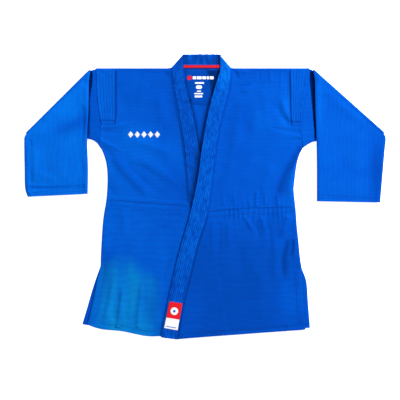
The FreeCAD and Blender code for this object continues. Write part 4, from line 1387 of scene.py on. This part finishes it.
def lapel(side):
    grid = lapel_grid(side)
    x, y, u, along, across, width = (
        grid.x, grid.y, grid.u, grid.along, grid.across, grid.width)
    mottle = 0.20 * noise(along / 9.0, across / 3.4, 17)
    mottle = mottle + 0.06 * noise(along / 26.0, across / 14.0, 18)
    # painted shade in the stitched grooves between the ribs; the mottle is uneven colour
    tone = (0.72 + 0.34 * grid.rib) * (1.0 + mottle)
    if side is LEFT:
        thick = LAPEL_THICK - lapel_taper(u * width, width, along)
        thick = thick - 0.6 * smooth(205, 255, along)
        tone = tone * (0.92 + 0.02 * smooth(150, 420, y) - 0.05 * smooth(60, -200, y))
        tone = tone * (1 + 0.20 * smooth(335, 405, y))
    else:
        thick = LAPEL_THICK
        tone = tone * (0.84 - 0.04 * smooth(340, 240, y))
        # painted shadow of the left lapel's free edge on the right lapel
        shadow_of_left_lapel = bell((x - (LEFT.lapel_in(y) - 4)) / 10.5)
        tone = tone * (1 - 0.55 * shadow_of_left_lapel * smooth(215, 150, y) * smooth(-60, 0, y))
        tone = tone * (1 - 0.03 * smooth(0.5, 1.0, u) * smooth(345, 300, y))
        tone = tone * (1 - 0.10 * smooth(395, 432, y))
        # a painted shadow line along the inner edge
        inner_edge_shadow = bell((1 - u) * (width - LAPEL_THICK) / 2.9)
        tone = tone * (1 - 0.66 * inner_edge_shadow * smooth(405, 375, y) * smooth(150, 190, y))
        tone = tone * shade(x, y, RIGHT_LAPEL_SHADE)
    name = side.name + "_lapel"
    ob = sheet(name + "_cloth", x, y, grid.z, thick, LAPEL, tone, uv=(across, along))
    register(ob, name, "lapel_cloth", name + "_cover")
    # the padding inside
    x, y, z, across, along = (
        values[3:-3:3, 9:-9:4] for values in (x, y, grid.z, across, along))
    ob = sheet(name + "_wadding", x, y, z - 1.9, 2.0, WADDING, uv=(across, along))
    register(ob, name, "lapel_padding", name + "_core")
    return grid


LAPELS = {side.name: lapel(side) for side in (RIGHT, LEFT)}

# band behind the neck, its inside facing up
NECK_ROWS = 44
NECK_X = -53.5 + steps((0.04, 0.02), (0.96, 0.016), (1.0, 0.02)) * 111.5


def neck_band():
    y, x = np.meshgrid(NECK_LOW + np.linspace(0, 1, NECK_ROWS) * NECK_HEIGHT, NECK_X,
                       indexing="ij")
    rib = ribs_across(y - NECK_LOW, NECK_RIBS, NECK_HEIGHT)
    z = 6.7 + 0.5 * rib * (0.8 + 0.4 * noise(x / 6.0, y / 5.0, 12))
    z = z + 0.25 * noise(x / 14.0, y / 9.0, 13) + 1.3 * folds(x, y, NECK_FOLDS)
    z = z - drop(NECK_LOW + NECK_HEIGHT - y, 5.0, 1.3)
    z = z - drop(np.minimum(x + 54.5, 59.0 - x), 6.0, 1.6)
    # painted shade in the stitched grooves between the ribs, and painted light and shade on the
    # folds from NECK_SHADE; the noise is uneven colour
    tone = 0.97 * NECK_TONE * (0.84 + 0.22 * rib) * (1 + 0.26 * noise(x / 12.0, y / 24.0, 14))
    tone = tone * shade(x, y, NECK_SHADE)
    ob = sheet("neck_band_cloth", x, y, z, LAPEL_THICK, NECK, tone)
    register(ob, "torso", "lapel_cloth", "collar_neck_cover")
    core_x, core_y, core_z = (values[4:-4:4, 3:-3:3] for values in (x, y, z - 1.9))
    ob = sheet("neck_band_wadding", core_x, core_y, core_z, 2.0, WADDING)
    register(ob, "torso", "lapel_padding", "collar_neck_core")
    return z


def neck_tape():
    """Red tape along the neck seam."""
    y, x = np.meshgrid(np.linspace(TAPE_LOW, TAPE_HIGH, 7), np.linspace(-51.5, 56.5, 70),
                       indexing="ij")
    off_middle = (y - (TAPE_LOW + TAPE_HIGH) / 2) / ((TAPE_HIGH - TAPE_LOW) / 2)
    z = 8.05 + 0.12 * np.sin(x / 5.0) * np.cos(y / 3.0) - 0.25 * np.abs(off_middle) ** 3
    z = z + 0.1 * noise(x / 8, y / 8, 3)
    register(sheet("red_neck_tape", x, y, z, 0.7, RED), "torso", "red_tape", "neck_seam_tape")


NECK_Z = neck_band()
neck_tape()

# ---- shoulder bands
# lines of stitching, gathered for each way of moving
STITCHES = {key: [] for key in MOVES}


def shoulder_band(side, inner, outer):
    n, m = 80, 30
    cross = np.linspace(0.012, 0.988, m)[None, :, None]
    plan = spaced(curve(inner, 3.0), n)[:, None] * (1 - cross)
    plan = plan + spaced(curve(outer, 3.0), n)[:, None] * cross
    x, y = plan[..., 0], plan[..., 1]
    u = cross[..., 0] + 0 * x
    v = np.linspace(0, 1, n)[:, None] + 0 * x
    ridge = np.abs(2 * ((u * BAND_GROOVES) % 1.0) - 1)
    end_groove = bell((v - 0.93) / 0.012)
    z = side.z(x, y) + 1.15 - 0.75 * smooth(0.95, 1.0, v)
    z += 0.25 * layered_noise(x, y, 30.0, 61, 2) + 0.28 * (1 - ridge**4)
    z += 0.35 * bell(u / 0.05) - 0.25 * end_groove
    # painted shade in the stitched grooves and in the cross groove near the lower end
    tone = (0.96 if side is LEFT else 1.0) * (0.86 + 0.16 * (1 - ridge**3))
    tone = tone * (1 - 0.25 * end_groove)
    ob = sheet(side.name + "_armhole_band_cloth", x, y, z, 1.1, BAND, tone)
    register(ob, "torso", "body_cloth", side.name + "_armhole_band")
    surface = np.stack([x, y, z], 2)
    lines = STITCHES["torso"]
    for j in range(1, BAND_GROOVES):
        lines.append(surface[2:-4, int(round(j / BAND_GROOVES * (m - 1)))])
    for share in (0.93, 0.975):
        lines.append(surface[int(share * n), 1:-1])
    lines.append(surface[2:-2, 1])


shoulder_band(LEFT, LEFT_BAND_IN, LEFT_BAND_OUT)
shoulder_band(RIGHT, RIGHT_BAND_IN, RIGHT_BAND_OUT)


# ---- chest mark: five satin-stitched diamonds
def chest_mark():
    count, pitch, centre_x, centre_y = 5, 20.0, -171.5, 220.5
    half_x, half_y = 8.4, 10.0
    rows, arch_points = 34, 7
    offset = (np.arange(rows) + 0.5) / rows * 2 - 1
    half = half_x * (1 - np.abs(offset))
    offset, half = offset[half >= 0.7], half[half >= 0.7]
    middles = centre_x + (np.arange(count) - 2) * pitch
    # each thread is an arch across its diamond, with a four-cornered section
    t = np.linspace(-1, 1, arch_points)
    x = middles[:, None, None] + half[:, None] * t
    y = (centre_y + half_y * offset)[:, None] + 0 * x
    rise = 0.85 * (1 - t * t) ** 0.6 * np.minimum(1.0, half / 4.0 + 0.3)[:, None]
    z = z_right(x, y) + 0.15 + rise
    section = np.array([(0, -0.34, -0.10), (0, 0.0, 0.12), (0, 0.34, -0.10), (0, 0.0, -0.5)])
    verts = (np.stack([x, y, z], -1)[..., None, :] + section).reshape(-1, 3)
    faces = []
    for q in range(arch_points - 1):
        for corner in range(4):
            first, second = q * 4 + corner, q * 4 + (corner + 1) % 4
            faces.append((first, second, second + 4, first + 4))
    last = (arch_points - 1) * 4
    faces += [(3, 2, 1, 0), (last, last + 1, last + 2, last + 3)]
    base = np.arange(count * len(half))[:, None, None] * 4 * arch_points
    ob = mesh_object("chest_mark_satin", verts, (base + np.array(faces)).reshape(-1, 4), WHITE)
    register(ob, "torso", "white_thread", "chest_emblem")


chest_mark()


# ---- lapel patch: red field, white foot, plain white disc with a small blue centre
def lapel_top(x, y):
    """Height of the left lapel under the patch."""
    grid = LAPELS["left"]
    ys = grid.y[:, 20]
    i = np.clip(np.searchsorted(-ys, -y) - 1, 0, len(ys) - 2)
    t = (ys[i] - y) / (ys[i] - ys[i + 1])
    top = grid.z[:, 6:44].max(axis=1)
    return top[i] * (1 - t) + top[i + 1] * t


def patch_plan(u, v):
    u, v = np.asarray(u)[..., None], np.asarray(v)[..., None]
    top_start, top_end, low_end, low_start = np.array(LAPEL_PATCH, float)
    top = top_start + (top_end - top_start) * u
    low = low_start + (low_end - low_start) * u
    return top * (1 - v) + low * v


def patch_piece(name, u_range, v_range, lift, thick, mat, *replaced, rows=26, cols=18):
    v, u = np.meshgrid(np.linspace(*v_range, rows), np.linspace(*u_range, cols), indexing="ij")
    plan = patch_plan(u, v)
    x, y = plan[..., 0], plan[..., 1]
    # 40 by 82 mm, about the size of the patch
    inset = np.minimum(np.minimum(u, 1 - u) * 40, np.minimum(v, 1 - v) * 82)
    z = lapel_top(x, y) + lift + 0.10 * layered_noise(x, y, 14.0, 66, 2)
    z = z - 0.3 * bell(inset / 1.6)
    register(sheet(name, x, y, z, thick, mat), "on_left_front", "woven_patch", *replaced)


def disc(name, radius, lift, thick, mat, count=36, rings=6):
    """A low dome in the middle of the red field."""
    centre = patch_plan(0.5, 0.33)
    share = np.arange(1, rings + 1) / rings
    radii = np.append(radius * share, radius)[:, None]
    rise = np.append(lift + 0.35 * (1 - share**4) - 0.2, lift - thick)[:, None]
    angle = 2 * PI * np.arange(count) / count
    x, y = centre[0] + radii * np.cos(angle), centre[1] + radii * np.sin(angle)
    verts = np.stack([x, y, lapel_top(x, y) + rise], -1).reshape(-1, 3)
    faces = []
    for i in range(rings):
        for j in range(count):
            k = (j + 1) % count
            low, high = i * count, (i + 1) * count
            faces.append((low + j, high + j, high + k, low + k))
    faces.append(tuple(range(count)))
    faces.append(tuple(rings * count + j for j in reversed(range(count))))
    register(mesh_object(name, verts, faces, mat), "on_left_front", "woven_patch")


patch_piece("lapel_patch_red", (0.02, 0.98), (0.012, 0.60), 0.75, 0.7, PATCH_RED,
            "left_lapel_patch")
patch_piece("lapel_patch_white", (0.02, 0.98), (0.603, 0.985), 0.75, 0.7, PATCH_WHITE)
patch_piece("lapel_patch_line", (0.14, 0.86), (0.90, 0.925), 0.95, 0.3, PATCH_BLUE,
            rows=4, cols=16)
disc("lapel_patch_disc", 11.6, lift=1.05, thick=0.6, mat=PATCH_WHITE)
disc("lapel_patch_centre", 4.2, lift=1.45, thick=0.5, mat=PATCH_BLUE)

# ---- print inside the neck: bars and blocks (x from, x to, y from, y to, corner radius)
WORD_BLOCKS = [
    (x0, x1, 386.5, 395.5, 1.5)
    for x0, x1 in ((-25, -14), (-12, 2), (4, 15), (17, 24), (26, 38))
]
LOWER_BLOCKS = [
    (-18, 9, 373.0, 378.0, 1.0), (-15, 3, 357.5, 368.5, 5.0), (-12, 0, 349.0, 352.5, 0.8),
    (-20, 6, 341.5, 345.5, 0.8), (-19, 4, 332.0, 338.0, 0.8),
]


def print_mesh(name, blocks, mat, slot, *replaced):
    verts, faces = [], []
    for x0, x1, y0, y1, radius in blocks:
        r = min(radius, (x1 - x0) / 2.01, (y1 - y0) / 2.01)
        corners = ((x1 - r, y1 - r), (x0 + r, y1 - r), (x0 + r, y0 + r), (x1 - r, y0 + r))
        ring = []
        for turn, (cx, cy) in enumerate(corners):
            for q in range(5):
                angle = math.radians(90 * turn + q * 22.5)
                ring.append((cx + r * math.cos(angle), cy + r * math.sin(angle)))
        x, y = np.array(ring).T
        base, k = len(verts), len(ring)
        for lift in (1.30, 0.98):
            verts += np.stack([x, y, z_back(x, y) + lift], 1).tolist()
        faces.append(tuple(range(base, base + k)))
        faces.append(tuple(range(base + 2 * k - 1, base + k - 1, -1)))
        for j in range(k):
            following = (j + 1) % k
            faces.append((base + j, base + k + j, base + k + following, base + following))
    register(mesh_object(name, verts, faces, mat, flat=True), "torso", slot, *replaced)


print_mesh("neck_print_white", WORD_BLOCKS + LOWER_BLOCKS, PRINT, "white_thread", "neck_print")
print_mesh("neck_print_red", [(-41, -28, 385.0, 397.0, 3.0)], RED, "red_tape")

# ---- sleeves: a flat tube from the armhole to a slanting fold, turned over and down to the cuff
HALF_HEIGHT, ROUNDING, WALL = 4.1, 3.8, 1.6  # the tube's half height, edge radius and cloth
ACROSS = 84  # points across each layer
TUBE_Z = 4.4  # middle of the lower tube
FOLD_Z = 9.3  # axis of the fold
FOLD_BACK = 4.0  # the turn starts this far before the fold line
UPPER = slice(ACROSS + 5, 2 * ACROSS + 5)  # columns of the face that ends on top
ROOT_ROWS = steps((0.02, 0.01), (0.20, 0.02), (1.0, 0.022))
TURN_ROWS = np.arange(1, 9) / 9.0
FOLDED_ROWS = steps((0.03, 0.006), (0.96, 0.0105), (1.0, 0.006))

LEFT.sleeve = SimpleNamespace(
    fold=((338.4, 415.8), (551.0, 226.0)),
    toward=(300, 200),
    inner=[(338.4, 415.8), (341.4, 384), (342.9, 291), (346.0, 210), (347.4, 120),
           (347.4, 20.1)],
    outer=[(551.1, 225.9), (554.4, 211.0), (549.5, 160.0), (545.1, 106.8), (537.3, 16.2)],
    under=[(306, 180), (327.6, 195), (348.9, 201.6), (450, 209), (551, 224)],
    folds=LEFT_SLEEVE_FOLDS,
    shade=LEFT_SLEEVE_SHADE,
    tone=lambda x, y: 0.935 + 0.01 * smooth(350, 540, x),
    seed=8,
)


def right_sleeve_tone(x, y):
    # painted light on the upper outer part and painted shade near the inner edge
    light = 0.08 * smooth(150, 300, y) * smooth(-360, -400, x)
    dark = 0.05 * smooth(-380, -345, x) * smooth(330, 290, y) * smooth(180, 220, y)
    return 1.135 + light - dark


RIGHT.sleeve = SimpleNamespace(
    fold=((-334.2, 415.5), (-526.0, 225.0)),
    toward=(-300, 200),
    inner=[(-334.2, 415.5), (-336, 384), (-337, 300), (-341, 209), (-338.5, 120),
           (-339.3, 42)],
    outer=[(-526.0, 225.0), (-530.0, 210.0), (-529.0, 120.0), (-527.4, 60.0),
           (-519.3, 33.5)],
    under=[(-305, 184), (-315.9, 198.6), (-342, 209), (-430, 214), (-526, 223)],
    folds=RIGHT_SLEEVE_FOLDS,
    shade=RIGHT_SLEEVE_SHADE,
    tone=right_sleeve_tone,
    seed=9,
)


def slit(side, x, y):
    """The deep hollow between the shoulder and the folded sleeve."""
    if side is LEFT:
        edge = np.interp(y, [190, 207, 262, 324, 384, 417],
                         [345, 342.5, 337.5, 331.5, 325.5, 327.5])
        hollow = smooth(-1.6, 1.6, x - edge) * smooth(356, 350, x)
        return hollow * smooth(200, 214, y) * smooth(418.5, 414.5, y)
    edge = np.interp(y, [205, 330, 350, 372, 400, 417],
                     [-337.0, -335.0, -332.0, -327.5, -326.5, -330.5])
    hollow = smooth(1.6, -1.6, x - edge) * smooth(-352, -346, x)
    return hollow * smooth(204, 216, y) * smooth(416.5, 412.5, y)


def flat_loop(height, radius):
    """Share of the width, sideways distance and rise round the flat tube, upper side first."""
    share = np.linspace(0, 1, ACROSS)
    flat = 0 * share
    angle = np.linspace(0, PI, 7)[1:-1]
    return (
        np.concatenate([share, np.ones(5), share[::-1], np.zeros(5)]),
        np.concatenate([flat, radius * np.sin(angle), flat, -radius * np.sin(angle)]),
        np.concatenate([flat + height, height * np.cos(angle), flat - height,
                        -height * np.cos(angle)]),
    )


def sleeve_rows(side, height, radius):
    """Rings of points from armhole to cuff, with their uv and tone."""
    sleeve = side.sleeve
    share, sideways, rise = flat_loop(height, radius)
    _, toward = off_line(0.0, 0.0, sleeve.fold, sleeve.toward)
    outward = -np.array(toward)
    rings, uvs, tones = [], [], []

    def spread(start, end):
        """A flat loop between two edge points, kept a little inside them."""
        width = np.linalg.norm(end - start)
        place = (ROUNDING + share * (width - 2 * ROUNDING)) / width
        points = start + (end - start) * place[:, None]
        return points + (end - start) / width * sideways[:, None], place, width

    # from the armhole to the fold
    fold_start, fold_end = (np.array(end) - outward * FOLD_BACK for end in sleeve.fold)
    arm_start, arm_end = resample(side.armhole, 0.0), resample(side.armhole, 1.0)
    under = curve(sleeve.under, 4.0)
    for q in ROOT_ROWS:
        points, place, _ = spread(arm_start * (1 - q) + fold_start * q,
                                  arm_end * (1 - q) + fold_end * q)
        chord = arm_start * (1 - place[:, None]) + arm_end * place[:, None]
        points = points + (resample(side.armhole, place) - chord) * (1 - q) ** 2
        sag = resample(under, q) - (under[0] * (1 - q) + under[-1] * q)
        points = points + sag * (place**4)[:, None]
        x, y = points.T
        dip = slit(side, x, y)
        upper = rise > 0
        z = TUBE_Z + rise
        z = np.where(upper, z - 3.6 * dip, z)
        z = np.where(rise > 0.8 * height, z + 0.25 * layered_noise(x, y, 40.0, 33, 2), z)
        rings.append(np.column_stack([points, z]))
        distance, _ = off_line(x, y, sleeve.fold, sleeve.toward)
        uvs.append(points + outward * (2 * distance)[:, None])
        # painted shade darkens the hollow beside the folded sleeve
        tones.append(np.where(upper, ROOT_TONE[side.name] * (1 - 0.80 * dip), 0.9))
    # round the fold
    points, _, _ = spread(fold_start, fold_end)
    reach = FOLD_Z - (TUBE_Z + rise)
    for t in TURN_ROWS:
        out = (0.45 * reach + 0.5) * np.sin(PI * t)
        z = FOLD_Z - reach * np.cos(PI * t)
        rings.append(np.column_stack([points + outward * out[:, None], z]))
        uvs.append(points + outward * (FOLD_BACK * 2 * (1 - t)))
        tones.append(0 * z + 0.97)
    # from the fold to the cuff
    inner, outer = (resample(curve(line, 4.0), FOLDED_ROWS)
                    for line in (sleeve.inner, sleeve.outer))
    for k, q in enumerate(FOLDED_ROWS):
        join = 1 - smooth(0, 0.10, q)
        points, _, width = spread(inner[k] + (fold_start - inner[0]) * join,
                                  outer[k] + (fold_end - outer[0]) * join)
        x, y = points.T
        z = 2 * FOLD_Z - (TUBE_Z + rise)
        upper = rise < -0.8 * height
        inset = np.minimum(share, 1 - share) * width
        relief = folds(x, y, sleeve.folds)
        relief = relief + 0.30 * layered_noise(x, y, 50.0, 71 + side.sign, 3)
        relief = relief + 0.13 * layered_noise(x, y, (24.0, 15.0), 75 + side.sign, 2)
        if "sleeve_" + side.name in DRAPE:
            relief = relief + sample(
                DRAPE["sleeve_" + side.name], np.full_like(share, q), share)
        ends = smooth(0, 0.03, q) * (1 - 0.5 * smooth(0.97, 1.0, q))
        relief = relief * np.clip(inset / 14.0, 0, 1) * ends
        z = np.where(upper, z + relief - drop(inset, 7.0, 0.9), z)
        rings.append(np.column_stack([points, z]))
        uvs.append(points)
        tones.append(np.where(upper, sleeve.tone(x, y) * shade(x, y, sleeve.shade), 0.9))
    return np.array(rings), np.array(uvs), np.array(tones)


def tube_faces(n, m):
    """Outer wall, inner wall and the two open ends of a double-walled tube."""
    j = np.arange(m)
    following = (j + 1) % m
    walls = []
    for i in range(n - 1):
        a, b = i * m + j, i * m + following
        walls.append(np.stack([a, b, b + m, a + m], 1))
    outer = np.vstack(walls)
    inner = n * m
    end = (n - 1) * m
    first = np.stack([j, inner + j, inner + following, following], 1)
    last = np.stack([end + j, end + following, inner + end + following, inner + end + j], 1)
    return np.vstack([outer, outer[:, ::-1] + inner, first, last])


def sleeve(side):
    name = side.name + "_sleeve"
    outer, outer_uv, outer_tone = sleeve_rows(side, HALF_HEIGHT, ROUNDING)
    inner, inner_uv, inner_tone = sleeve_rows(side, HALF_HEIGHT - WALL, ROUNDING - WALL)
    n, m = outer.shape[:2]
    verts = np.vstack([outer.reshape(-1, 3), inner.reshape(-1, 3)])
    faces = tube_faces(n, m)
    # the last flat rows tell which way round makes the faces point outward
    quads = faces[(n - 7) * m:(n - 1) * m]
    facing = np.cross(verts[quads[:, 2]] - verts[quads[:, 0]],
                      verts[quads[:, 3]] - verts[quads[:, 1]])
    middle = np.repeat(outer.mean(axis=1)[n - 7:n - 1], m, axis=0)
    flip = np.sum(facing * (verts[quads].mean(axis=1) - middle)) < 0
    if flip:
        faces = faces[:, ::-1]
    uv = np.vstack([outer_uv.reshape(-1, 2), inner_uv.reshape(-1, 2)])
    tone = np.concatenate([outer_tone.ravel(), inner_tone.ravel()])
    ob = mesh_object(name + "_cloth", verts, faces, SLEEVE_CLOTH[side.name], uv,
                     {"tone": tone, "teal": np.zeros(len(verts))})
    register(ob, name, "body_cloth", name, name + "_root")

    # rows of stitching round the cuff, on both faces of the folded sleeve
    run = run_lengths(outer[-40:, ACROSS // 2][::-1])

    def row_at(distance):
        """Row number, counted back from the cuff, at a distance from it."""
        return -1 - np.interp(distance, run, np.arange(len(run)))

    for distance in (8.0, 16.0):
        place = row_at(distance)
        k = int(math.floor(place))
        t = place - k
        row = outer[k] * (1 - t) + outer[min(k + 1, -1)] * t
        under_row = row[:ACROSS] - [0, 0, 0.25]
        STITCHES["on_" + name] += [row[UPPER], under_row]

    # turned cloth inside the cuff
    k = int(row_at(27.0))
    turned, uv, _ = sleeve_rows(side, HALF_HEIGHT - WALL - 0.25, ROUNDING - WALL - 0.2)
    lining, _, _ = sleeve_rows(side, HALF_HEIGHT - WALL - 1.0, ROUNDING - WALL - 0.8)
    turned, lining, uv = turned[k:], lining[k:], uv[k:]
    turned[:, UPPER, 2] = outer[k:, UPPER, 2] - WALL - 0.2
    lining[:, UPPER, 2] = outer[k:, UPPER, 2] - WALL - 0.65
    for rows in (turned, lining):
        rows[-1] = rows[-2] * 0.3 + rows[-1] * 0.7
    verts = np.vstack([turned.reshape(-1, 3), lining.reshape(-1, 3)])
    faces = tube_faces(len(turned), m)
    if flip:
        faces = faces[:, ::-1]
    ob = mesh_object(side.name + "_cuff_turning", verts, faces, LINING,
                     np.vstack([uv.reshape(-1, 2)] * 2),
                     {"tone": np.full(len(verts), 0.85), "teal": np.zeros(len(verts))})
    register(ob, "on_" + name, "facing_cloth", side.name + "_cuff_facing")


def drape_sleeve(side):
    """Coarse simulation of the folded sleeve's upper face, on a simpler outline."""
    inner = [side.sleeve.inner[k] for k in (0, 2, 4, 5)]
    outer = side.sleeve.outer[::2]
    n, m = 34, 24
    u = np.linspace(0, 1, m)[None, :, None]
    plan = spaced(curve(inner), n)[:, None] * (1 - u) + spaced(curve(outer), n)[:, None] * u
    points = np.concatenate([plan, np.full((n, m, 1), 18.0)], 2)
    name = "sleeve_" + side.name
    DRAPE[name] = simulate(
        name, points, pinned_edges(n, m, end=0.6), expand=0.010, seed=side.sleeve.seed, cap=1.8)


for side in SIDES:
    drape_sleeve(side)
    sleeve(side)


# ---- rows of stitching
def on(surface, points, lift=0.0):
    x, y = curve(points, 4.0).T
    return np.stack([x, y, surface(x, y) + lift], 1)


for side, shape, follow, start, end, count, offsets in (
    (LEFT, along_x, LEFT.waist, 24, 274, 60, (9.3, 5.6, -9.0)),
    (LEFT, along_x, LEFT.hem, -60, 288, 50, (16.5, 12.8)),
    (LEFT, along_y, LEFT.edge, -191, -346, 30, (-19.0, -3.4)),
    (LEFT, None, [(289, -340), (311, -339)], 0, 0, 0, (0,)),
    (LEFT, along_y, LEFT.lapel_out, 392, -385, 160, (3.6,)),
    (RIGHT, along_x, RIGHT.waist, -274, -42, 60, (9.3, 5.6, -8.0)),
    (RIGHT, along_x, RIGHT.hem, -312, -20, 50, (16.0,)),
    (RIGHT, along_y, RIGHT.edge, -184, -336, 30, (19.0,)),
    (RIGHT, None, [(-340, -333), (-316, -333)], 0, 0, 0, (0,)),
    (RIGHT, along_y, RIGHT.lapel_out, 392, 20, 120, (-3.4,)),
):
    for offset in offsets:
        points = shape(follow, start, end, count, offset) if shape else follow
        STITCHES[side.name + "_front"].append(on(side.z, points))
for name, grid in LAPELS.items():
    surface = np.stack([grid.x, grid.y, grid.z - 0.05], 2)
    for j in range(1, LAPEL_RIBS):
        k = int(round(j / LAPEL_RIBS * (LAPEL_COLUMNS - 1)))
        STITCHES[name + "_lapel"].append(surface[5:-5, k])
x = np.linspace(-46, 50, 40)
for offset in (0.9, 7.6):
    STITCHES["torso"].append(np.stack([x, TAPE_LOW + offset + 0 * x, 8.1 + 0 * x], 1))
for y in (313.5, 317.5):
    STITCHES["torso"].append(on(z_back, [(-268, y), (0, y), (272, y)], lift=0.95))
x = np.linspace(-49, 52, 40)
for j in range(1, NECK_RIBS):
    k = int(round(j / NECK_RIBS * (NECK_ROWS - 1)))
    y = np.full(40, NECK_LOW + NECK_HEIGHT * j / NECK_RIBS)
    STITCHES["torso"].append(np.stack([x, y, np.interp(x, NECK_X, NECK_Z[k]) - 0.02], 1))

for key in ("torso", "left_front", "right_front"):
    ob = stitching(key + "_stitches", STITCHES[key], THREAD, radius=0.45)
    register(ob, key, "body_cloth")
for key in ("left_lapel", "right_lapel"):
    ob = stitching(key + "_stitches", STITCHES[key], LAPEL_THREAD, radius=0.42)
    register(ob, key, "lapel_cloth")
for side in SIDES:
    key = f"on_{side.name}_sleeve"
    ob = stitching(side.name + "_cuff_stitches", STITCHES[key], THREAD, radius=0.5)
    register(ob, key, "body_cloth")

# ---- floor, light and camera (metres)
FLOOR_HALF, FLOOR_Z = 4.0, -0.0012
corners = [(-1, -1), (1, -1), (1, 1), (-1, 1)]
floor_mesh = bpy.data.meshes.new("floor")
floor_mesh.from_pydata(
    [(i * FLOOR_HALF, j * FLOOR_HALF, FLOOR_Z) for i, j in corners], [], [(0, 1, 2, 3)])
floor = bpy.data.objects.new("floor", floor_mesh)
scene = bpy.context.scene
scene.collection.objects.link(floor)
g = Shader("pale_floor")
speckle = g.noise(g.node("TexCoord").outputs["Object"], scale=40.0, detail=3.0)
grey = g.vary(speckle, base=0.985, spread=0.03)
floor_mesh.materials.append(g.finish(
    Roughness=0.9,
    Base_Color=g.fill(g.node("CombineColor"), (grey, grey, grey)).outputs[0],
    Specular_IOR_Level=0.0,
    Emission_Color=(1.0, 1.0, 1.0),
    Emission_Strength=0.75,
))

world = bpy.data.worlds.new("studio")
scene.world = world
world.use_nodes = True
background = world.node_tree.nodes["Background"]
background.inputs["Color"].default_value = (1.0, 1.0, 1.0, 1.0)
background.inputs["Strength"].default_value = 0.40


def area_light(name, location, size, power):
    """A round light aimed at the origin."""
    light = bpy.data.lights.new(name, "AREA")
    light.shape = "DISK"
    light.size = size
    light.energy = power
    ob = bpy.data.objects.new(name, light)
    scene.collection.objects.link(ob)
    ob.location = location
    ob.rotation_euler = (-Vector(location)).to_track_quat("-Z", "Y").to_euler()


area_light("key", location=(2.0, 1.8, 2.3), size=1.5, power=149.0)
area_light("fill", location=(-2.2, -1.2, 2.6), size=2.0, power=14.0)

lens = bpy.data.cameras.new("camera")
lens.lens = 200.0
lens.sensor_width = 36.0
lens.clip_end = 60.0
camera = bpy.data.objects.new("camera", lens)
scene.collection.objects.link(camera)
camera.location = (-0.003, 0.024, 6.677)
camera.rotation_euler = (0.0, 0.0, 0.0)
scene.camera = camera
scene.view_settings.view_transform = "Standard"
scene.view_settings.look = "None"
